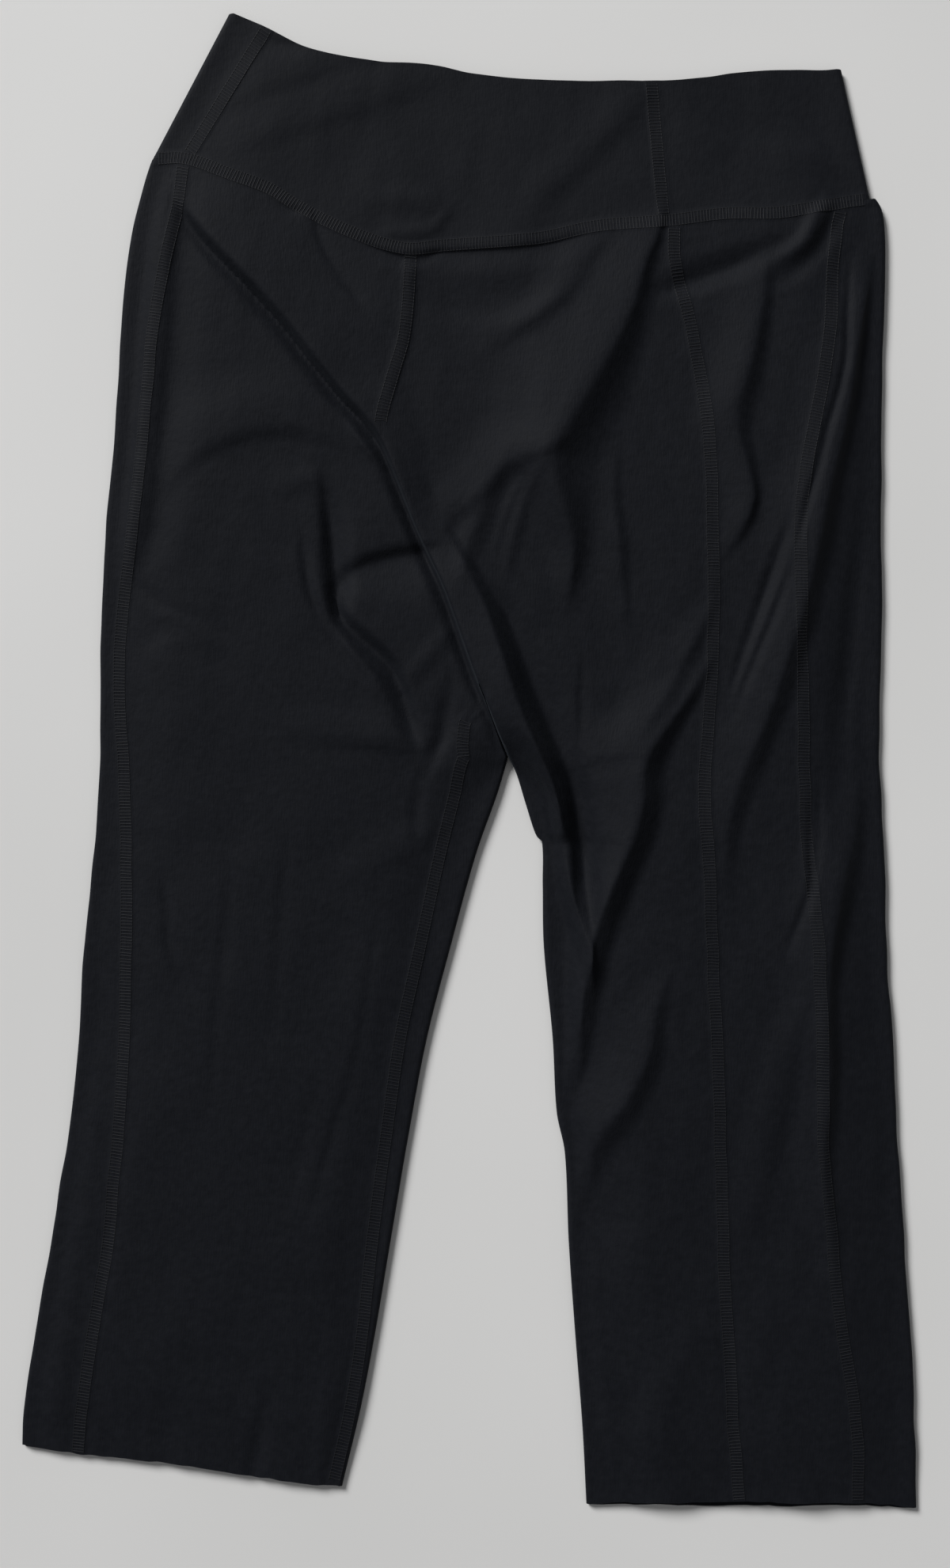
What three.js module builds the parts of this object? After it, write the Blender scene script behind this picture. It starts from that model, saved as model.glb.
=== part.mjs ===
import * as THREE from 'three';

// A pair of stretch-knit capri leggings laid flat with the seat uppermost.
// Millimetres: X runs across the hips, Y from the hems to the waist, Z up from the table.
// The legs lie twisted, so the right leg shows its side panel and the left leg its inseam.

// Driving dimensions
const KNIT = 1.2;
const BAND_KNIT = 1.6;
const SEAM_GAP = 0.3;
const LAYER_GAP = 0.5;
const EDGE_HEIGHT = 4.8;
const EDGE_ROLL = 2.5;
const CROTCH_ROLL = 1.9;
const EDGE_REACH = 13;
const CROWN_REACH = 42;
const CENTRE_REACH = 60;
const CROTCH = { x: 6.2, y: 40 };
const FORK_Y = -3;
const TUBE_GROWTH = 60;
const UNDER_HEM_DROP = 3.4;
const FRONT_WAIST_DROP = 14;

// Mesh steps: rows down the body and legs, and around a folded edge
const BODY_ROWS = 16;
const LEG_ROWS = 26;
const BAND_ROWS = 6;
const ROLL_STEPS = 4;
const SLOPE_STEP = 0.05;
const FOLD_STEPS = 8;

// Left half, a row for each level. outer is its folded edge, strip the side panel's width that shows,
// under the hidden seam's place on the underside from that edge, inner the centre seam and, below the
// crotch, the leg's inner edge, inseam its seam's distance from that edge, crown the cloth's lift.
const LEFT = [
  { y: 404, outer: -130.1, strip: 20, under: 60, inner: -31.6, inseam: 4, crown: 0.8 },
  { y: 365, outer: -150.5, strip: 19, under: 62, inner: -31.6, inseam: 4, crown: 1.4 },
  { y: 330, outer: -169.6, strip: 17.8, under: 66, inner: -31.6, inseam: 4, crown: 2.4 },
  { y: 300, outer: -179.5, strip: 22.4, under: 66, inner: -31.6, inseam: 4, crown: 3.4 },
  { y: 270, outer: -184.9, strip: 21.3, under: 67, inner: -31.6, inseam: 4, crown: 4 },
  { y: 230, outer: -188.6, strip: 17.9, under: 68, inner: -34.8, inseam: 4, crown: 4.4 },
  { y: 205, outer: -190.1, strip: 17, under: 68, inner: -41.6, inseam: 4, crown: 4.6 },
  { y: 180, outer: -191.6, strip: 16.2, under: 68, inner: -46.4, inseam: 4, crown: 4.8 },
  { y: 155, outer: -193.7, strip: 15.9, under: 67, inner: -40.2, inseam: 4, crown: 4.8 },
  { y: 130, outer: -196.3, strip: 15.5, under: 66, inner: -29.5, inseam: 4, crown: 4.8 },
  { y: 80, outer: -199.4, strip: 11.8, under: 63, inner: -8.8, inseam: 4, crown: 4.6 },
  { y: 40, outer: -199.5, strip: 10.6, under: 60, inner: 6.2, inseam: 4, crown: 4.4 },
  { y: 20, outer: -199.6, strip: 11.6, under: 58, inner: 13.6, inseam: 16, crown: 4.2 },
  { y: -3, outer: -200, strip: 13.2, under: 56, inner: 21.7, inseam: 26, crown: 4 },
  { y: -18, outer: -201.2, strip: 14.8, under: 54, inner: 15.2, inseam: 23, crown: 3.9 },
  { y: -50, outer: -203.2, strip: 18.1, under: 50, inner: 3.9, inseam: 19.6, crown: 3.7 },
  { y: -100, outer: -208.6, strip: 23.4, under: 46, inner: -9.9, inseam: 16.6, crown: 3.5 },
  { y: -150, outer: -211.3, strip: 25.2, under: 44, inner: -22.8, inseam: 14.5, crown: 3.4 },
  { y: -200, outer: -216.8, strip: 27.5, under: 42, inner: -32.3, inseam: 12.2, crown: 3.3 },
  { y: -260, outer: -226.6, strip: 31.5, under: 40, inner: -42.5, inseam: 9.9, crown: 3.2 },
  { y: -310, outer: -235.2, strip: 31.7, under: 38, inner: -50.9, inseam: 7, crown: 2.8 },
  { y: -350, outer: -241.4, strip: 31.9, under: 36, inner: -58.6, inseam: 5.6, crown: 2.2 },
  { y: -392, outer: -241.9, strip: 29.4, under: 34, inner: -68.6, inseam: 5, crown: 1.6 },
];

// Right half: front and back are the two seams of its side panel, measured in from the outer edge,
// and under the hidden inseam's place on the underside from the leg's inner edge. Above the fork of
// the legs it shares the left half's centre seam.
const RIGHT = [
  { y: 375, outer: 201.5, front: 95, back: 95, under: 1.4, crown: 0.8 },
  { y: 335, outer: 208.6, front: 60, back: 100, under: 1.4, crown: 1.6 },
  { y: 300, outer: 222.4, front: 23.6, back: 113.6, under: 1.4, crown: 3 },
  { y: 270, outer: 225.5, front: 29, back: 114.6, under: 1.4, crown: 4 },
  { y: 230, outer: 224.2, front: 30.9, back: 104, under: 1.4, crown: 4.8 },
  { y: 205, outer: 223.5, front: 34.2, back: 99, under: 1.4, crown: 5.2 },
  { y: 180, outer: 223.3, front: 38.7, back: 95, under: 1.4, crown: 5.6 },
  { y: 155, outer: 223.3, front: 43.6, back: 93.2, under: 1.4, crown: 5.8 },
  { y: 130, outer: 223.4, front: 46, back: 92.2, under: 1.4, crown: 6 },
  { y: 80, outer: 223.4, front: 46.6, back: 92.2, under: 1.4, crown: 6 },
  { y: 40, outer: 222.6, front: 43, back: 92.4, under: 1.4, crown: 6 },
  { y: 20, outer: 222.2, front: 42.4, back: 93.6, under: 5, crown: 6 },
  { y: -3, outer: 222.2, front: 42, back: 94.7, inner: 21.7, under: 9, crown: 6 },
  { y: -18, outer: 223, front: 42.4, back: 97, inner: 28.6, under: 12, crown: 6 },
  { y: -50, outer: 225.3, front: 42.6, back: 96.4, inner: 38.9, under: 16, crown: 6 },
  { y: -100, outer: 226, front: 39.4, back: 95.3, inner: 40.4, under: 20, crown: 6 },
  { y: -150, outer: 229.6, front: 41, back: 96.3, inner: 45.2, under: 22, crown: 6 },
  { y: -190, outer: 231.2, front: 42.1, back: 96.4, inner: 47.4, under: 22, crown: 5.8 },
  { y: -212, outer: 232.4, front: 42.6, back: 97.2, inner: 51.8, under: 22, crown: 5.6 },
  { y: -260, outer: 235.6, front: 40.6, back: 98.8, inner: 53.9, under: 22, crown: 5.2 },
  { y: -310, outer: 239.2, front: 38, back: 99.6, inner: 57.4, under: 22, crown: 4.6 },
  { y: -360, outer: 241.4, front: 32.2, back: 98.8, inner: 61.3, under: 22, crown: 3.6 },
  { y: -404, outer: 242.1, front: 32.4, back: 96, inner: 63.6, under: 22, crown: 2.6 },
];

// Lines that cross the body, a row for each place along them
const BAND_SEAM = [
  { x: -172.2, y: 325.6 },
  { x: -153.3, y: 325.6 },
  { x: -127.5, y: 316 },
  { x: -107.3, y: 308.5 },
  { x: -93.5, y: 300 },
  { x: -65.6, y: 286 },
  { x: -35, y: 276.3 },
  { x: -14.8, y: 278.2 },
  { x: 35.9, y: 281.8 },
  { x: 69.4, y: 288.6 },
  { x: 107.3, y: 291.6 },
  { x: 137, y: 295.2 },
  { x: 166.6, y: 295.6 },
  { x: 192.4, y: 299.9 },
  { x: 208, y: 303 },
  { x: 221.6, y: 304.4 },
];
const WAIST_EDGE = [
  { x: -130.1, y: 405.4 },
  { x: -112.9, y: 398.4 },
  { x: -87.1, y: 385.6 },
  { x: -48.4, y: 378.2 },
  { x: -22.6, y: 376.2 },
  { x: 3.2, y: 371.6 },
  { x: 35, y: 368.4 },
  { x: 106.4, y: 368.2 },
  { x: 158, y: 373 },
  { x: 201.5, y: 374.4 },
];
const LEFT_HEM = [
  { x: -241.9, y: -370 },
  { x: -211.8, y: -374.6 },
  { x: -168.8, y: -379 },
  { x: -125.8, y: -385.2 },
  { x: -91.4, y: -390.4 },
  { x: -68.6, y: -392.2 },
];
const RIGHT_HEM = [
  { x: 63.6, y: -402.4 },
  { x: 90, y: -400.6 },
  { x: 120, y: -400.2 },
  { x: 180, y: -400.6 },
  { x: 215, y: -401.4 },
  { x: 242.1, y: -404 },
];

// Centre-front seam on the underside, from the waistband down to the crotch
const FRONT_SEAM = [
  { y: 330, x: 72 },
  { y: 200, x: 58 },
  { y: 110, x: 34 },
  { y: 40, x: 6.2 },
];

// The waistband's two slanted seams, as shares of its width at its lower seam and at the waist
const BAND_SEAMS = {
  left: { lower: 0.048, waist: 0.063 },
  right: { lower: 0.711, waist: 0.689 },
};

// Folds, a row for each. at is its path towards the hems, or towards +X where it lies across. rise is
// its height, down if negative. left and right are its widths, left being the -X or lower side.
// crease is 0 for a round fold and 1 for a sharp one, lean how far the crest hangs over to the left.
const FOLDS = [
  { name: 'side trough', at: [[-156, 312], [-171, 233], [-176, 173], [-184, 100]],
    rise: -5.4, left: 8, right: 13, crease: 0.5, lean: 0 },
  { name: 'seat overlap, upper', at: [[-152, 302], [-108, 245], [-67, 197], [-47, 181]],
    rise: 4.2, left: 10, right: 26, crease: 0, lean: 1 },
  { name: 'seat overlap, lower', at: [[-56, 190], [-44, 172], [-31, 144], [-14, 112], [8, 55], [25, 10]],
    rise: 6.4, left: 10, right: 28, crease: 0, lean: 2.4 },
  { name: 'seat overlap, foot', at: [[-62, 190], [-47, 179], [-38, 147], [-21, 115], [1, 55], [16, 12]],
    rise: -4.6, left: 10, right: 6, crease: 0.5, lean: 0 },
  { name: 'arched crest', at: [[-158, 159], [-141, 169], [-117, 173], [-94, 178], [-74, 170]],
    rise: 3.6, left: 13, right: 15, crease: 0, lean: 0 },
  { name: 'thigh pleat', at: [[-73, 142], [-78, 118], [-74, 96], [-70, 80], [-54, 66], [-40, 49], [-31, 24]],
    rise: -5.4, left: 8, right: 9, crease: 0.5, lean: 0 },
  { name: 'thigh pleat, cross arm', at: [[-72, 94], [-61, 107], [-46, 114], [-22, 119]],
    rise: -4.8, left: 8, right: 8, crease: 0.4, lean: 0 },
  { name: 'thigh pleat, outer arm', at: [[-90, 113], [-87, 90], [-76, 70], [-60, 54]],
    rise: -3.6, left: 8, right: 8, crease: 0.3, lean: 0 },
  { name: 'thigh hollow', at: [[-84, 2], [-52, 5], [-20, 2]],
    rise: -3, left: 11, right: 9, crease: 0, lean: 0 },
  { name: 'thigh crest', at: [[-104, 18], [-66, 19], [-36, 20]],
    rise: 2.4, left: 10, right: 12, crease: 0, lean: 0 },
  { name: 'seat ridge', at: [[103, 292], [91, 268], [81, 236], [67, 210], [54, 186], [36, 160]],
    rise: 9.4, left: 27, right: 17, crease: 0, lean: -2 },
  { name: 'seat hollow', at: [[96, 224], [82, 192], [67, 160], [60, 130], [56, 104]],
    rise: -5.6, left: 14, right: 13, crease: 0.1, lean: 0 },
  { name: 'seat valley', at: [[80, 284], [58, 250], [32, 226], [6, 206]],
    rise: -3.2, left: 13, right: 12, crease: 0, lean: 0 },
  { name: 'seat crest', at: [[52, 266], [24, 240], [-2, 214]],
    rise: 2.6, left: 13, right: 12, crease: 0, lean: 0 },
  { name: 'crotch crease', at: [[16, 156], [9, 132], [3, 104], [2, 84]],
    rise: -3.4, left: 7, right: 8, crease: 0.4, lean: 0 },
  { name: 'crotch ridge', at: [[75, 146], [78, 118], [79, 96]],
    rise: 3.2, left: 9, right: 6, crease: 0, lean: -1 },
  { name: 'inner strip', at: [[-4, 104], [14, 54], [34, 4], [45, -26]],
    rise: 3, left: 9, right: 9, crease: 0, lean: 0 },
  { name: 'long crease', at: [[16, 104], [22, 71], [29, 47], [39, 15], [48, -13], [53, -50], [61, -98]],
    rise: -6, left: 7, right: 8, crease: 0.6, lean: 0 },
  { name: 'ridge between creases', at: [[74, 62], [78, 24], [78, -16], [71, -62], [58, -112]],
    rise: 4, left: 16, right: 14, crease: 0, lean: 0 },
  { name: 'knee crease', at: [[126, 74], [120, 43], [105, 20], [93, 0], [88, -45], [74, -80], [64, -122], [54, -180]],
    rise: -5.6, left: 8, right: 9, crease: 0.5, lean: 0 },
  { name: 'knee crest', at: [[112, 8], [104, -36], [92, -78], [80, -126], [72, -168]],
    rise: 3, left: 9, right: 22, crease: 0, lean: 0 },
  { name: 'shin crease', at: [[103, -128], [98, -166], [88, -188], [72, -210], [57, -240]],
    rise: -4, left: 8, right: 9, crease: 0.4, lean: 0 },
  { name: 'side wave', at: [[165, 256], [155, 221], [147, 190], [151, 156], [150, 132], [142, 114]],
    rise: -3.4, left: 9, right: 11, crease: 0.2, lean: 0 },
  { name: 'band tuck', at: [[106, 262], [122, 266], [137, 273], [152, 279], [170, 285]],
    rise: -4.6, left: 7, right: 7, crease: 0.5, lean: 0 },
  { name: 'band tuck crest', at: [[148, 266], [168, 273], [180, 284], [187, 300]],
    rise: 3.4, left: 7, right: 6, crease: 0, lean: 0 },
  { name: 'band tuck, outer', at: [[166, 258], [179, 269], [188, 283], [196, 300]],
    rise: -3.6, left: 6, right: 7, crease: 0.4, lean: 0 },
  { name: 'long side trough', at: [[219, 268], [212, 229], [206, 196], [195, 144], [183, 98], [176, 64], [160, 24],
    [146, -14], [138, -62]],
    rise: -6, left: 8, right: 9, crease: 0.5, lean: 0 },
  { name: 'side ridge', at: [[211, 268], [205, 214], [196, 184], [187, 156], [178, 124]],
    rise: 3, left: 9, right: 7, crease: 0, lean: 0 },
  { name: 'calf trough', at: [[216, -34], [203, -66], [197, -98], [195, -135], [198, -163], [194, -208], [200, -254]],
    rise: -4.4, left: 9, right: 10, crease: 0.3, lean: 0 },
  { name: 'calf fork', at: [[183, -46], [183, -68], [175, -86], [168, -104]],
    rise: -3.2, left: 8, right: 8, crease: 0.2, lean: 0 },
  { name: 'shin hollow', at: [[176, -132], [172, -185], [164, -213], [157, -238]],
    rise: -2.8, left: 12, right: 10, crease: 0, lean: 0 },
  { name: 'right hem wave', at: [[172, -296], [168, -330], [160, -372], [158, -410]],
    rise: -2.4, left: 14, right: 14, crease: 0, lean: 0 },
  { name: 'left leg wave', at: [[-164, -62], [-163, -94], [-155, -115], [-140, -132]],
    rise: -2, left: 12, right: 12, crease: 0, lean: 0 },
  { name: 'left leg inner wave', at: [[-30, -60], [-46, -92], [-56, -150], [-64, -176], [-80, -224]],
    rise: -2, left: 11, right: 9, crease: 0, lean: 0 },
  { name: 'left hem wave', at: [[-108, -350], [-114, -368], [-119, -392]],
    rise: -2.2, left: 12, right: 9, crease: 0, lean: 0 },
  { name: 'band slant', at: [[86, 352], [62, 330], [36, 302]],
    rise: 2.4, left: 14, right: 8, crease: 0, lean: 0 },
  { name: 'band wave', at: [[-132, 357], [-100, 366], [-66, 376]],
    rise: -1.6, left: 8, right: 8, crease: 0, lean: 0 },
  { name: 'band wave, lower', at: [[-112, 338], [-89, 345], [-62, 352], [-30, 367]],
    rise: -1.6, left: 8, right: 8, crease: 0, lean: 0 },
  { name: 'band dip', at: [[136, 364], [170, 362], [204, 360]],
    rise: -1.6, left: 9, right: 9, crease: 0, lean: 0 },
];

const { lerp, clamp, smoothstep } = THREE.MathUtils;

// A smooth curve through one column of a table, by another column that rises or falls steadily
function curve(table, key, value) {
  const rows = [...table].sort((a, b) => a[key] - b[key]);
  const slope = (i, j) => (rows[j][value] - rows[i][value]) / (rows[j][key] - rows[i][key]);
  const last = rows.length - 1;
  const slopes = rows.map((row, i) => slope(Math.max(i - 1, 0), Math.min(i + 1, last)));
  return (at) => {
    const place = clamp(at, rows[0][key], rows[last][key]);
    let i = 0;
    while (i < last - 1 && place > rows[i + 1][key]) i += 1;
    const width = rows[i + 1][key] - rows[i][key];
    const t = (place - rows[i][key]) / width;
    const start = rows[i][value] * (1 + 2 * t) * (1 - t) ** 2 + slopes[i] * width * t * (1 - t) ** 2;
    const end = rows[i + 1][value] * (3 - 2 * t) * t ** 2 - slopes[i + 1] * width * (1 - t) * t ** 2;
    return start + end;
  };
}

const leftOf = (name) => curve(LEFT, 'y', name);
const rightOf = (name) => curve(RIGHT, 'y', name);
const leftEdge = leftOf('outer');
const rightEdge = rightOf('outer');
const centreSeam = curve(LEFT.filter((row) => row.y >= FORK_Y), 'y', 'inner');
const leftLeg = curve(LEFT.filter((row) => row.y <= FORK_Y), 'y', 'inner');
const rightLeg = curve(RIGHT.filter((row) => row.y <= FORK_Y), 'y', 'inner');
const leftInner = (y) => (y > FORK_Y ? centreSeam(y) : leftLeg(y));
const rightInner = (y) => (y > FORK_Y ? centreSeam(y) : rightLeg(y));
const leftCrown = leftOf('crown');
const rightCrown = rightOf('crown');
const bandSeam = curve(BAND_SEAM, 'x', 'y');
const waistEdge = curve(WAIST_EDGE, 'x', 'y');
const leftHem = curve(LEFT_HEM, 'x', 'y');
const rightHem = curve(RIGHT_HEM, 'x', 'y');
const frontSeam = curve(FRONT_SEAM, 'y', 'x');

// A bow between two ends of a table's line, used to set a hidden layer a little lower or higher
function bow(table, x) {
  const share = (x - table[0].x) / (table.at(-1).x - table[0].x);
  return Math.sin(Math.PI * clamp(share, 0, 1));
}

const chord = (table, x) => lerp(table[0].y, table.at(-1).y,
  (x - table[0].x) / (table.at(-1).x - table[0].x));
const bandSeamUnder = (x) => chord(BAND_SEAM, x) - FRONT_WAIST_DROP * bow(BAND_SEAM, x);
const waistEdgeUnder = (x) => chord(WAIST_EDGE, x) - 3 * FRONT_WAIST_DROP * bow(WAIST_EDGE, x);
const rightHemUnder = (x) => rightHem(x) - UNDER_HEM_DROP * bow(RIGHT_HEM, x) ** 0.5;

// Folds prepared as short straight runs, each with its distance from the fold's start
function prepared(fold) {
  const spline = new THREE.SplineCurve(fold.at.map(([x, y]) => new THREE.Vector2(x, y)));
  const points = spline.getPoints(FOLD_STEPS * (fold.at.length - 1));
  const starts = [0];
  points.slice(1).forEach((point, i) => starts.push(starts[i] + point.distanceTo(points[i])));
  const reach = Math.max(fold.left, fold.right);
  const xs = points.map((point) => point.x);
  const ys = points.map((point) => point.y);
  const box = [Math.min(...xs) - reach, Math.max(...xs) + reach, Math.min(...ys) - reach, Math.max(...ys) + reach];
  return { ...fold, points, starts, length: starts.at(-1), box };
}

const folds = FOLDS.map(prepared);

// How strongly one fold works at a place, and the direction of its left side there
function foldAt(fold, x, y) {
  const [west, east, south, north] = fold.box;
  if (x < west || x > east || y < south || y > north) return null;
  let best = { gap: Infinity };
  for (let i = 0; i < fold.points.length - 1; i += 1) {
    const a = fold.points[i];
    const b = fold.points[i + 1];
    const dx = b.x - a.x;
    const dy = b.y - a.y;
    const run = Math.hypot(dx, dy);
    const t = clamp(((x - a.x) * dx + (y - a.y) * dy) / run ** 2, 0, 1);
    const gap = Math.hypot(x - a.x - t * dx, y - a.y - t * dy);
    if (gap < best.gap) {
      const side = (x - a.x) * dy - (y - a.y) * dx;
      best = { gap, side, along: fold.starts[i] + t * run, toLeft: [dy / run, -dx / run] };
    }
  }
  const fade = 0.32 * fold.length;
  const taper = smoothstep(best.along, 0, fade) * smoothstep(fold.length - best.along, 0, fade);
  const width = (best.side > 0 ? fold.left : fold.right) * (0.5 + 0.5 * taper);
  const share = best.gap / width;
  if (share >= 1 || taper === 0) return null;
  const round = (1 - share ** 2) ** 2;
  const sharp = (1 - share) ** 2 * (1 + 0.6 * share);
  return { weight: taper * lerp(round, sharp, fold.crease), toLeft: best.toLeft };
}

// The distance in from the folded edges that a leg, or above the crotch the body, has at a place
function inset(x, y, leg) {
  const outer = Math.min(x - leftEdge(y), rightEdge(y) - x) - EDGE_ROLL;
  if (y >= CROTCH.y) return outer;
  const inner = leg === 'left' ? leftInner(y) - x : x - rightInner(y);
  const open = CROWN_REACH * (1 - smoothstep(CROTCH.y - y, 0, TUBE_GROWTH));
  const roll = innerRoll(y);
  return Math.min(outer, inner - roll + open);
}

const innerRoll = (y) => lerp(CROTCH_ROLL, EDGE_ROLL, smoothstep(CROTCH.y - y, 0, TUBE_GROWTH));

// The outside of the upper layer over a flat place of the pattern, moved by the folds
function upper(x, y, leg, least) {
  const fromEdge = inset(x, y, leg);
  const centre = leftInner(y);
  const rightShare = leg === 'left' && y < CROTCH.y ? 0
    : leg === 'right' && y < CROTCH.y ? 1
      : smoothstep(x, centre - CENTRE_REACH, centre + CENTRE_REACH);
  const crown = lerp(leftCrown(y), rightCrown(y), rightShare) * smoothstep(fromEdge, 0, CROWN_REACH);
  let rise = crown;
  let leanX = 0;
  let leanY = 0;
  for (const fold of folds) {
    const hit = foldAt(fold, x, y);
    if (hit) {
      rise += fold.rise * hit.weight;
      leanX += fold.lean * hit.weight * hit.toLeft[0];
      leanY += fold.lean * hit.weight * hit.toLeft[1];
    }
  }
  const free = smoothstep(fromEdge, 0, EDGE_REACH);
  const above = EDGE_HEIGHT + rise * free - least;
  const height = least + 0.5 * (above + Math.hypot(above, 1));
  return new THREE.Vector3(x + leanX * free, y + leanY * free, height);
}

// A point of a wall has its place on the outside and on the inside, one thickness apart
function upperWall(x, y, leg, knit) {
  const least = 2 * knit + LAYER_GAP;
  const outer = upper(x, y, leg, least);
  const alongX = upper(x + SLOPE_STEP, y, leg, least).sub(upper(x - SLOPE_STEP, y, leg, least));
  const alongY = upper(x, y + SLOPE_STEP, leg, least).sub(upper(x, y - SLOPE_STEP, leg, least));
  const normal = alongX.cross(alongY).normalize();
  return { outer, inner: outer.clone().addScaledVector(normal, -knit) };
}

const underWall = (x, y, knit) => ({
  outer: new THREE.Vector3(x, y, 0),
  inner: new THREE.Vector3(x, y, knit),
});

// A folded edge: half an ellipse from the upper layer, at angle 90, to the table, at angle -90
function rollWall(edge, y, towards, roll, height, knit, degrees) {
  const angle = THREE.MathUtils.degToRad(degrees);
  const at = (across, half) => new THREE.Vector3(
    edge - towards * roll + towards * across * Math.cos(angle),
    y,
    height / 2 + half * Math.sin(angle),
  );
  return { outer: at(roll, height / 2), inner: at(roll - knit, height / 2 - knit) };
}

// A long line of the garment on one layer, with where it meets the waistband and its hem
function line(xAt, seam, hem) {
  const meet = (start, cross) => {
    let y = start;
    for (let turn = 0; turn < 12; turn += 1) y = cross(xAt(y));
    return { x: xAt(y), y };
  };
  return { xAt, seam, hem, top: meet(300, seam), foot: meet(-380, hem) };
}

// The level of one row of a column that starts at the waistband seam and ends at the hem
function level(row, top, foot) {
  if (row <= BODY_ROWS) return lerp(top, CROTCH.y, row / BODY_ROWS);
  return lerp(CROTCH.y, foot, (row - BODY_ROWS) / LEG_ROWS);
}

// The flat place of a row on the column that lies at a share of the way from one line to another
function between(from, to, share, row) {
  const top = from.seam(lerp(from.top.x, to.top.x, share)) - SEAM_GAP / 2;
  const foot = from.hem(lerp(from.foot.x, to.foot.x, share));
  const xOf = (edge) => edge.xAt(level(row, edge.top.y, edge.foot.y));
  return { x: lerp(xOf(from), xOf(to), share), y: level(row, top, foot) };
}

const shares = (count, power = 1) => Array.from({ length: count + 1 }, (_, i) => (i / count) ** power);
const rollAngles = Array.from({ length: ROLL_STEPS - 1 }, (_, i) => 90 - (180 * (i + 1)) / ROLL_STEPS);

// Columns on the upper layer, on the underside and around a folded edge. first is the first row used.
const upperColumns = (from, to, steps, leg, first = 0) => steps.map((share) => ({
  first,
  at: (row) => {
    const place = between(from, to, share, row);
    return upperWall(place.x, place.y, leg, KNIT);
  },
}));
const underColumns = (from, to, steps, first = 0) => steps.map((share) => ({
  first,
  at: (row) => {
    const place = between(from, to, share, row);
    return underWall(place.x, place.y, KNIT);
  },
}));
const rollColumns = (edge, towards, leg, rollAt, angles, first = 0) => angles.map((degrees) => ({
  first,
  at: (row) => {
    const y = level(row, edge.top.y - SEAM_GAP / 2, edge.foot.y);
    const roll = rollAt(y);
    const top = upper(edge.xAt(y) - towards * roll, y, leg, 2 * KNIT + LAYER_GAP);
    return rollWall(edge.xAt(y), y, towards, roll, top.z, KNIT, degrees);
  },
}));

// A closed wall from a grid of wall points. Cells are left out where a corner is missing. Rims are
// split along the same diagonal on both sides of a seam, so twisted rims stay clear of each other.
function wallGeometry(grid) {
  const positions = [];
  const number = grid.map((row) => row.map((point) => {
    if (!point) return -1;
    positions.push(...point.outer, ...point.inner);
    return positions.length / 3 - 2;
  }));
  const index = [];
  const rims = new Map();
  const rim = (a, b) => {
    if (!rims.delete(`${b} ${a}`)) rims.set(`${a} ${b}`, [a, b]);
  };
  for (let r = 0; r < grid.length - 1; r += 1) {
    for (let c = 0; c < grid[r].length - 1; c += 1) {
      const corners = [number[r][c], number[r][c + 1], number[r + 1][c + 1], number[r + 1][c]];
      if (corners.every((corner) => corner >= 0)) {
        const [a, b, d, e] = corners;
        index.push(a, b, d, a, d, e);
        index.push(a + 1, d + 1, b + 1, a + 1, e + 1, d + 1);
        corners.forEach((corner, i) => rim(corner, corners[(i + 1) % 4]));
      }
    }
  }
  const yOf = (corner) => positions[3 * corner + 1];
  for (const [a, b] of rims.values()) {
    if (yOf(a) > yOf(b)) index.push(b, a, b + 1, a, a + 1, b + 1);
    else index.push(b, a, a + 1, b, a + 1, b + 1);
  }
  if (volume(positions, index) < 0) index.reverse();
  const geometry = new THREE.BufferGeometry();
  geometry.setAttribute('position', new THREE.Float32BufferAttribute(positions, 3));
  geometry.setIndex(index);
  geometry.computeVertexNormals();
  return geometry;
}

function volume(positions, index) {
  const corner = (i) => new THREE.Vector3().fromArray(positions, 3 * index[i]);
  let total = 0;
  for (let i = 0; i < index.length; i += 3) {
    total += corner(i).dot(corner(i + 1).cross(corner(i + 2))) / 6;
  }
  return total;
}

// The long lines of the two halves, with half a seam's gap on each side of a seam
const GAP = SEAM_GAP / 2;
const shifted = (xAt, by) => (y) => xAt(y) + by;
const inBody = (y) => y > CROTCH.y + 1;
const leftStrip = leftOf('strip');
const leftUnder = leftOf('under');
const leftInseam = leftOf('inseam');
const rightFront = rightOf('front');
const rightBack = rightOf('back');
const rightUnder = rightOf('under');

const leftSide = (y) => leftEdge(y) + leftStrip(y);
const leftHidden = (y) => leftEdge(y) + leftUnder(y);
const leftCentre = (y) => (inBody(y) ? leftInner(y) : leftInner(y) - leftInseam(y));
const rightFrontLine = (y) => rightEdge(y) - rightFront(y);
const rightBackLine = (y) => rightEdge(y) - rightBack(y);
const rightHidden = (y) => (inBody(y) ? frontSeam(y) : rightInner(y) + innerRoll(y) + rightUnder(y));

const backLeftLines = {
  side: line(shifted(leftSide, GAP), bandSeam, leftHem),
  centre: line(shifted(leftCentre, -GAP), bandSeam, leftHem),
};
const sideLeftLines = {
  top: line(shifted(leftSide, -GAP), bandSeam, leftHem),
  edge: line(leftEdge, bandSeam, leftHem),
  edgeTop: line(shifted(leftEdge, EDGE_ROLL), bandSeam, leftHem),
  edgeUnder: line(shifted(leftEdge, EDGE_ROLL), bandSeamUnder, leftHem),
  under: line(shifted(leftHidden, -GAP), bandSeamUnder, leftHem),
};
const frontLeftLines = {
  under: line(shifted(leftHidden, GAP), bandSeamUnder, leftHem),
  inner: line((y) => (inBody(y) ? frontSeam(y) - GAP : leftInner(y) - GAP - innerRoll(y)), bandSeamUnder, leftHem),
  edge: line(shifted(leftInner, -GAP), bandSeam, leftHem),
  edgeTop: line((y) => leftInner(y) - GAP - innerRoll(y), bandSeam, leftHem),
  inseam: line((y) => leftCentre(y) + GAP, bandSeam, leftHem),
};
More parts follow.
